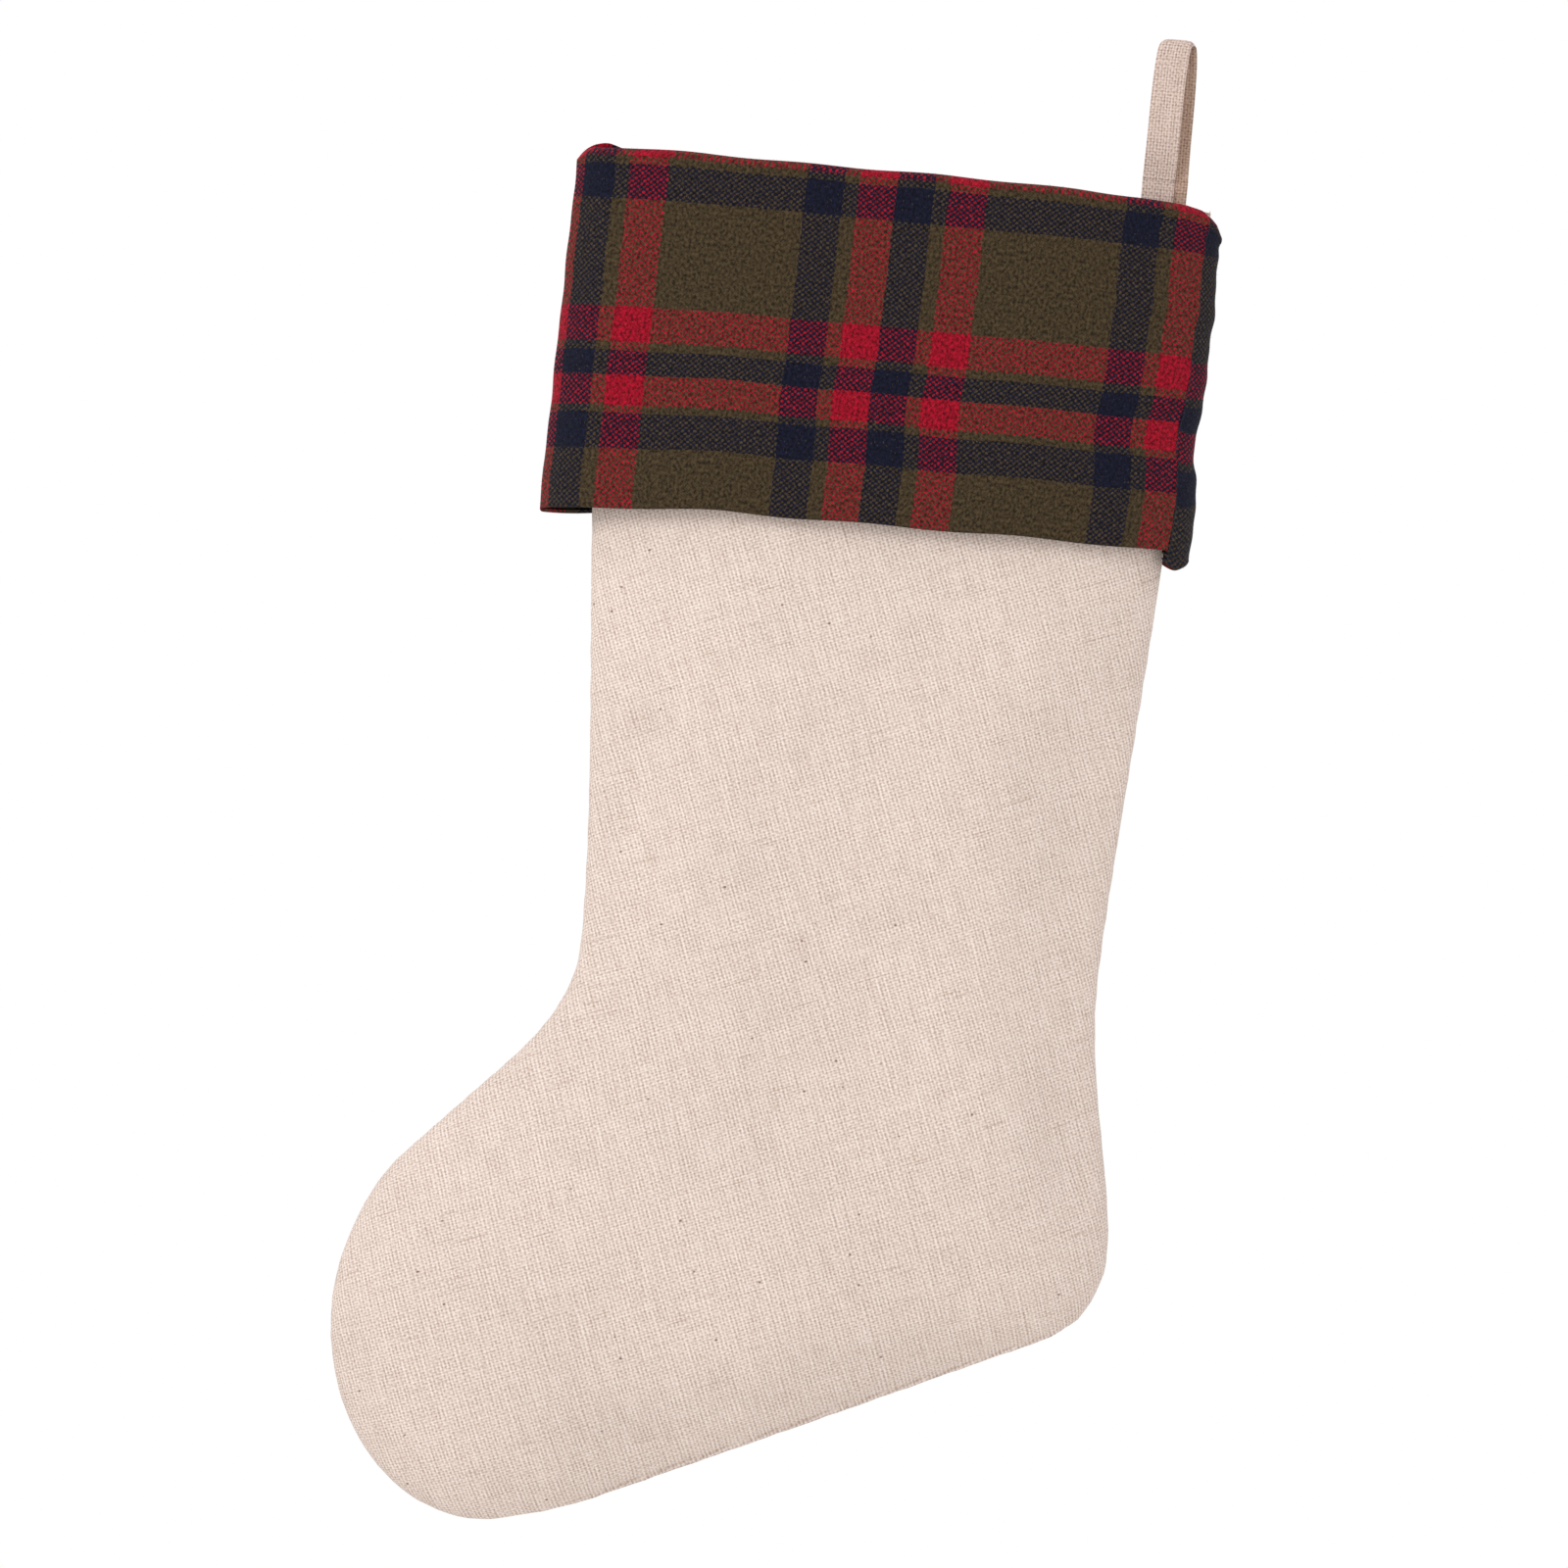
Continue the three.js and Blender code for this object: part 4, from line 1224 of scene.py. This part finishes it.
@dataclass
class Cuff:
    """The double cuff: plaid folded over the mouth, its facing, and its seams."""

    leg: LegAndFoot
    left: float = -216.5
    right: float = 22.5
    flare: float = 2.0  # how much further to the toe side the hem reaches
    waist: float = 2.1  # how far the heel side draws in halfway down
    ease: float = 0.6
    turn_in: float = 24.0
    shoulder: float = 3.0
    # How far the rim drops towards the heel side, as pairs of x and drop.
    rim_drop: tuple[tuple[float, float], ...] = (
        (-32.0, 0.0), (-10.0, 0.6), (8.0, 1.8), (14.0, 2.8), (18.0, 4.1), (20.5, 6.0), (22.8, 9.8),
    )
    heel_seam_in: tuple[float, float] = (5.4, 8.6)  # heel-side seam on the front, at fold and hem
    toe_droop: float = 4.4  # how far the hem sags at its toe-side corner
    heel_lift: float = 3.6  # how far it rises at its heel-side corner
    flap_rows: int = 72
    fold_rows: int = 16
    turn_rows: int = 12
    facing_rows: int = 40
    columns: int = 150
    wrap_columns: int = 14  # of the back half, on the front past the heel-side seam

    def build(self) -> None:
        """Makes and dresses both halves, their facings and their stitches."""
        for side in Side:
            plaid = self.plaid(side)
            settle(plaid, PLAID_FLANNEL, ("cuff_" + side.word,))
            nap = WoolNap().grow("wool_nap_" + side.word, plaid, PLAID_FLANNEL)
            settle(nap, PLAID_FLANNEL, ())
            facing = self.facing(side)
            settle(facing, PLAID_FLANNEL, ("cuff_facing_" + side.word,))
        self.sew()

    def down(self, z: Array | float) -> Array:
        """0 at the fold and 1 at the hem."""
        return np.clip((FOLD_Z - z) / (FOLD_Z - HEM_Z), 0, 1)

    def across(self, side: Side, z: float) -> tuple[Array, Array]:
        """Where one half runs round the cuff at a height.

        Args:
            side: The half.
            z: The height.

        Returns:
            For each column, the share of the way from the toe side, and whether it is on the front.
        """
        fold, hem = self.heel_seam_in
        seam = 1 - (fold + (hem - fold) * float(self.down(z))) / (self.right - self.left)
        if side is Side.FRONT:
            eased = 1 - np.cos(np.linspace(0, np.pi / 2, self.columns + 1))
            even = np.linspace(0, 1, self.columns + 1)
            return (0.55 * eased + 0.45 * even**1.6) * seam, np.ones(self.columns + 1, bool)
        wrap = np.sin(np.linspace(0, np.pi / 2, self.wrap_columns + 1))[:-1]
        share = np.concatenate([seam + (1 - seam) * wrap, 1 - cosine_shares(self.columns)])
        return share, np.arange(len(share)) < len(wrap)

    def row(self, side: Side, z: float, inset: float) -> Array:
        """One row of the flap at a height, `inset` inside the outermost face."""
        share, front = self.across(side, z)
        down = float(self.down(z))
        left = self.left - self.flare * down + inset
        left += 0.25 * math.sin(z / 4.1) * math.sin(z / 13.0)
        right = self.right - inset - self.waist * float(bump(-142, 15, z))
        right += 0.35 * math.sin(z / 5.5) + 0.35 * math.sin(z / 2.3) * math.sin(z / 9.0)
        x = left + (right - left) * share
        away = np.minimum(x - left, right - x)
        layers = self.ease + FACING + GAP + PLAID
        y = np.where(front, *(
            crown(face, face.depth + layers + face.stand_off * down - inset, away, seam_gap=0.05)
            for face in Side
        ))
        return np.stack([x, y, np.full_like(x, z)], axis=1)

    def mouth_row(self, side: Side, z: float, inset: float) -> Array:
        """One row of the turned-in plaid, on the leg's own surface stepped in by `inset`."""
        left, right, ring = self.leg.pattern.outline(inset, self.leg.inner_steps[0])
        low, high = (float(np.interp(-z, -edge[:, 1], edge[:, 0])) for edge in (left, right))
        share, front = self.across(side, z)
        x = low + (high - low) * share
        flat = np.stack([x, np.full_like(x, min(z, LEG_TOP_Z))], axis=1)
        distance, _ = nearest_on(ring, flat)
        y = np.where(front, *(crown(face, face.depth - inset, distance) for face in Side))
        return np.stack([x, y, np.full_like(x, z)], axis=1)

    def shaped(self, side: Side, grid: Array) -> Array:
        """The cloth as it hangs: hem and rim out of level, and soft waves down the flap."""
        x, y, z = np.moveaxis(grid, -1, 0)
        down = self.down(z)
        hem = self.heel_lift * np.clip((x - 16.5) / 6.0, 0, 1) ** 2
        hem = hem - self.toe_droop * np.clip((-150 - x) / 68, 0, 1) ** 1.3
        rim = 0.25 * np.sin(x / 7.3 + 0.8) + 0.2 * np.sin(x / 17.0)
        if side is Side.FRONT:
            hem = hem + 0.35 * np.sin(x / 9.0) + 1.1 * smoothstep(-140, 0, x) - 0.6
        else:
            hem = hem + 0.35 * np.sin(x / 11.0) - 6.0 * smoothstep(4, 18, x)
            hem = hem - 1.9 * bump(-205, 22, x)
            rim = rim + 2.3 * bump(-205.5, 6.5, x) - 0.8 * smoothstep(-190, -150, x)
        corner = np.interp(x, *np.array(self.rim_drop).T)
        corner = corner + 2.6 * np.clip((-209.5 - x) / 7.0, 0, 1) ** 2
        near_fold = np.clip(1 - down / 0.16, 0, 1) ** 1.3
        z = z + hem * down**1.4 + (rim - corner) * near_fold
        waves = 0.55 * np.sin(x / 19.0 + z / 60.0) + 0.35 * np.sin(x / 8.5 - z / 41.0)
        waves = waves * smoothstep(0.02, 0.35, down)
        waves = waves * smoothstep(0, 22, x - self.left) * smoothstep(0, 22, self.right - x)
        return np.stack([x, y + waves, z], axis=-1)

    def plaid(self, side: Side) -> Piece:
        """The plaid of one half: round the hem, up the flap, over the fold and down inside."""
        half_lip = (PLAID + GAP + FACING) / 2
        flap_top = FOLD_Z - self.shoulder
        outer, inner, height = [], [], []
        for angle in np.linspace(np.pi, 0, 9):
            inset = half_lip * (1 - math.cos(angle))
            z = HEM_Z + half_lip - half_lip * math.sin(angle)
            inner_z = HEM_Z + half_lip + 0.25 * math.sin(angle)
            outer.append(self.row(side, z, inset))
            inner.append(self.row(side, inner_z, min(inset, PLAID)))
            height.append(z if inset < half_lip else 2 * HEM_Z - z)
        for z in np.linspace(HEM_Z + half_lip + 1.0, flap_top, self.flap_rows):
            outer.append(self.row(side, z, 0.0))
            inner.append(self.row(side, z, PLAID))
            height.append(z)
        faces = [
            (rows, inset, rows[-1], self.mouth_row(side, flap_top, MOUTH_WALL - inset))
            for rows, inset in ((outer, 0.0), (inner, PLAID))
        ]
        for share in cosine_shares(self.fold_rows + 1)[1:-1]:
            for rows, inset, top, low in faces:
                fold = top + (low - top) * share
                round_off = (self.shoulder - inset) * (2 * share - 1) ** 4
                fold[:, 2] = FOLD_Z - inset - round_off
                rows.append(fold)
            height.append(FOLD_Z + 12.0 * share)
        for z in np.linspace(flap_top, FOLD_Z - self.turn_in, self.turn_rows):
            outer.append(self.mouth_row(side, z, MOUTH_WALL))
            inner.append(self.mouth_row(side, z, MOUTH_WALL - PLAID))
            height.append(FOLD_Z + 14.0 + (flap_top - z))
        return self.half("plaid_cuff_", side, outer, inner, height)

    def facing(self, side: Side) -> Piece:
        """The second layer of one half, between the plaid and the leg."""
        heights = np.linspace(HEM_Z + 2.6, FOLD_Z - self.shoulder - 0.3, self.facing_rows)
        inset = PLAID + GAP
        outer = [self.row(side, z, inset) for z in heights]
        inner = [self.row(side, z, inset + FACING) for z in heights]
        return self.half("cuff_lining_", side, outer, inner, list(heights))

    def half(
        self, name: str, side: Side, outer: list[Array], inner: list[Array], height: list[float]
    ) -> Piece:
        """Makes one layer of one half from its rows.

        Args:
            name: The start of the piece's name.
            side: The half.
            outer: Rows of the outer face.
            inner: Rows of the inner face.
            height: Where each row lies on the plaid.

        Returns:
            The piece.
        """
        row = self.row(side, FOLD_Z - 60.0, 0.0)
        if side is Side.FRONT:
            x = row[:, 0]
            across = x - 3.3 * np.clip(1 - (x - self.left) / 12.0, 0, 1) ** 2
        else:
            across = self.right - self.heel_seam_in[0] + 0.9 + path_length(row)
        cloth = np.stack(np.broadcast_arrays(across[None], np.array(height)[:, None]), axis=-1)
        outer_face, inner_face = (self.shaped(side, np.array(rows)) for rows in (outer, inner))
        return sheet_of_cloth(name + side.word, outer_face, inner_face, cloth)

    def sew(self) -> None:
        """The side seams of the cuff, and the stitches that hold the turned-in edge."""
        heights = np.linspace(FOLD_Z - 6, HEM_Z + 3, 60)
        rows = np.array([self.row(Side.FRONT, z, PLAID / 2) for z in heights])
        run = StitchRun(pitch=2.6, length=2.2, radius=0.25)
        for word, line in (("toe_side", rows[:, 0] * (1, 0, 1)), ("heel_side", rows[:, -1])):
            line = self.shaped(Side.FRONT, line[:, None])[:, 0]
            piece = run.sew("cuff_side_stitches_" + word, line, DARK_THREAD)
            settle(piece, DARK_THREAD, ("cuff_seam_thread_" + word,))
        over = StitchRun(pitch=3.2, length=2.6, radius=0.22, slant=(0.0, 0.0, 1.2))
        for side in Side:
            row = self.mouth_row(side, FOLD_Z - self.turn_in - 0.3, MOUTH_WALL - PLAID / 2)
            piece = over.sew("mouth_stitches_" + side.word, row[12:-12], DARK_THREAD)
            settle(piece, DARK_THREAD, ("mouth_seam_thread_" + side.word,))


# ---- Loop ------------------------------------------------------------------------------------


@dataclass
class HangingLoop:
    """The linen tape that the stocking hangs by, sewn in at the heel-side corner."""

    half_gap: float = 5.25
    twist_z: float = -30.0
    rim_z: float = -52.5
    split_z: float = -49.2
    end_z: float = -82.0
    together: float = 0.82
    rise: float = 1.3  # how far the tape's soft top stands above a tight fold
    columns: int = 26
    edge_fold: float = 2.5  # topstitched fold, in from the heel-side edge
    tack: tuple[float, float, float] = (11.0, 2.0, -73.0)  # bar tack's length, height and level

    def build(self) -> None:
        """Makes and dresses the tape above and below the bend, its stitches and the bar tack."""
        line = self.middle_line()
        above = line[line[:, 1] >= self.split_z]
        rear = line[(line[:, 1] <= self.split_z) & (line[:, 0] > 0)]
        front = (rear * (-1, 1))[::-1]
        twist = Bend.down_loop(Body.EYE, Body.NECK, -8.0, -46.0)
        swing = Bend.down_loop(Body.NECK, Body.STOCKING, -50.0, -57.5)
        loop = ("loop_tape_eye", "loop_tape_front_leg", "loop_tape_rear_leg")
        for name, part, first, nodes, bend_at, under in (
            ("loop", above, 0.0, loop, twist, "loop_tape_eye"),
            ("end_front", front, -self.length(front), ("loop_tape_sewn_end",), swing,
             "hanging_tape_loop"),
            ("end_rear", rear, self.length(above), (), swing, "hanging_tape_loop"),
        ):
            piece = self.tape("hanging_tape_" + name, part, first)
            settle(piece, LINEN_TAPE, nodes, bend_at)
            self.length(part) * MM
        self.topstitch("tape_edge_stitches_loop", above[4:-4], twist)
        self.topstitch("tape_edge_stitches_end", front[2:-2], swing)
        self.tack_down()

    def middle_line(self) -> Array:
        """The tape's middle from the front sewn end over the top to the rear one, in y and z."""
        gap, near = self.half_gap, self.together
        top, twist = pair(0, TAPE_THICK / 2 + self.rise), pair(gap, self.twist_z)
        reach = self.twist_z - self.rim_z
        rear = np.concatenate([
            top[None],
            cubic(top, pair(gap * 0.86, top[1]), pair(gap, self.twist_z * 0.45), twist),
            cubic(
                twist, pair(gap, self.twist_z - reach * 0.45),
                pair(near, self.twist_z - reach * 0.62), pair(near, self.rim_z),
            ),
            pair(near, self.end_z)[None],
        ])
        rear = resampled(rear, np.linspace(0, 1, 150))
        rear[int(np.argmin(np.abs(rear[:, 1] - self.split_z))), 1] = self.split_z
        return np.concatenate([rear[:0:-1] * (-1, 1), rear])

    def length(self, line: Array) -> float:
        """The length of a line in millimetres."""
        return float(np.linalg.norm(np.diff(line, axis=0), axis=1).sum())

    def beside(self, line: Array) -> tuple[Array, Array]:
        """For each point of a line, the way out of the loop and how far its leg is staggered."""
        along = np.gradient(line, axis=0)
        along /= np.linalg.norm(along, axis=1)[:, None]
        slant = np.clip(line[:, 0] / self.half_gap, -1, 1)
        apart = np.where(line[:, 1] > self.twist_z, slant, np.sign(line[:, 0])) * TAPE_STAGGER
        return np.stack([-along[:, 1], along[:, 0]], axis=1), apart

    def tape(self, name: str, line: Array, first: float) -> Piece:
        """A length of tape along a line, with rounded edges and a folded heel-side edge.

        Args:
            name: The piece's name.
            line: The tape's middle, in y and z.
            first: How far along the whole tape the line starts.

        Returns:
            The piece.
        """
        share = cosine_shares(self.columns)
        x = TAPE_WIDTH * (share - 0.5)
        edge = np.abs(2 * share - 1)
        thick = TAPE_THICK * np.sqrt(np.clip(1 - 0.96 * edge**10, 0, 1)) / 2
        groove = 0.22 * bump(TAPE_WIDTH / 2 - self.edge_fold, 0.42, x)
        out, apart = self.beside(line)
        path = first + path_length(line)
        wave = 0.10 * np.sin(path / 3.7)[:, None] * (x / TAPE_WIDTH * 2)[None]
        rounded = 1.2 * edge[None] ** 6 * bump(line[:, 1].max(), 3, line[:, 1:])
        faces = []
        for side in (1, -1):
            offset = side * (thick - groove)[None] + wave - rounded
            y, z = (line[:, k : k + 1] + out[:, k : k + 1] * offset for k in (0, 1))
            faces.append(np.stack([x[None] + apart[:, None] + 0 * y, y, z], axis=-1))
        cloth = np.stack(np.broadcast_arrays(x[None], path[:, None]), axis=-1)
        return sheet_of_cloth(name, *faces, cloth, behind=0.0)

    def topstitch(self, name: str, line: Array, bend_at: Bend) -> None:
        """Stitches down the tape's folded edge."""
        out, apart = self.beside(line)
        y, z = (line + out * (TAPE_THICK / 2 - 0.1)).T
        stitched = np.stack([TAPE_WIDTH / 2 - self.edge_fold + apart, y, z], axis=1)
        run = StitchRun(pitch=2.4, length=1.9, radius=0.16)
        piece = run.sew(name, stitched, NATURAL_THREAD, behind=0.0)
        settle(piece, NATURAL_THREAD, (), bend_at)

    def tack_down(self) -> None:
        """The bar tack of satin stitches across the front sewn end."""
        length, height, level = self.tack
        x = np.linspace(-length / 2, length / 2, 30) - TAPE_STAGGER
        y = np.full_like(x, -self.together - TAPE_THICK / 2 - 0.28)
        bar = np.stack([x, y, np.full_like(x, level)], axis=1)
        satin = StitchRun(pitch=0.52, length=height, radius=0.3, slant=(0.0, 0.0, 40.0))
        piece = satin.sew("bar_tack", bar, NATURAL_THREAD, behind=0.0)
        settle(piece, NATURAL_THREAD, ("loop_bar_tack",))


# ---- Studio ----------------------------------------------------------------------------------


@dataclass
class Studio:
    """A white studio: floor, soft lights, and a camera straight in front of the stocking."""

    middle: tuple[float, float] = (-0.1452, -0.2717)  # x and z that the camera looks at
    frame_width: float = 0.576  # width of the picture at the stocking
    lens: float = 150.0
    sensor: float = 36.0
    stand_off: float = 0.008  # the camera's extra distance, for the depth of the front half
    floor_z: float = -1.2
    floor_radius: float = 2.6

    def build(self) -> None:
        """Makes the floor, the world, the lights and the camera."""
        self.floor()
        self.world()
        self.light("key_softbox", (-1.4, -1.5, 0.9), 0.8, 17.0)
        self.light("fill_softbox", (1.2, -1.7, -0.2), 1.2, 2.0)
        self.camera()
        bpy.context.scene.view_settings.view_transform = "Standard"

    def floor(self) -> None:
        """A round floor well below the stocking."""
        rings, spokes = 6, 96
        radii = np.linspace(0.001, self.floor_radius, rings)[:, None]
        angle = np.linspace(0, 2 * np.pi, spokes, endpoint=False)
        x, y = self.middle[0] + radii * np.cos(angle), radii * np.sin(angle)
        points = np.stack([x, y, np.full_like(x, self.floor_z)], axis=-1).reshape(-1, 3)
        number = np.arange(rings * spokes).reshape(rings, spokes)
        number = np.concatenate([number, number[:, :1]], axis=1)
        quads = np.concatenate([strip_quads(number[i], number[i + 1]) for i in range(rings - 1)])
        mesh = mesh_of("floor", points, [], quads[:, ::-1].tolist())
        mesh.materials.append(PAINTED_FLOOR.material())
        linked("floor", mesh)

    def world(self) -> None:
        """An even white surround."""
        world = bpy.data.worlds.new("white_surround")
        world.use_nodes = True
        tree = world.node_tree
        tree.nodes.clear()
        white = {"Color": (1.0, 1.0, 1.0, 1.0), "Strength": 1.0}
        sky = add(tree, "ShaderNodeBackground", white)
        add(tree, "ShaderNodeOutputWorld", {"Surface": sky.outputs[0]})
        bpy.context.scene.world = world

    def light(self, name: str, place: tuple[float, ...], size: float, power: float) -> None:
        """A square softbox aimed at the stocking.

        Args:
            name: The lamp's name.
            place: Where it stands, in metres.
            size: Its side.
            power: Its power in watts.
        """
        lamp = bpy.data.lights.new(name, "AREA")
        lamp.size, lamp.energy = size, power
        made = linked(name, lamp)
        made.location = place
        target = Vector((self.middle[0], 0.0, self.middle[1]))
        made.rotation_euler = (target - made.location).to_track_quat("-Z", "Y").to_euler()

    def camera(self) -> None:
        """A level camera with a long lens."""
        lens = bpy.data.cameras.new("camera")
        lens.lens, lens.sensor_width = self.lens, self.sensor
        lens.clip_start, lens.clip_end = 0.05, 50.0
        made = linked("camera", lens)
        away = self.frame_width * self.lens / self.sensor + self.stand_off
        made.location = (self.middle[0], -away, self.middle[1])
        made.rotation_euler = (math.pi / 2, 0.0, 0.0)
        bpy.context.scene.camera = made


def main() -> None:
    """Builds the studio, then the stocking piece by piece."""
    logging.basicConfig(level=logging.INFO, format="%(message)s")
    Studio().build()
    leg = LegAndFoot()
    leg.build()
    Cuff(leg).build()
    HangingLoop().build()


if __name__ == "__main__":
    main()
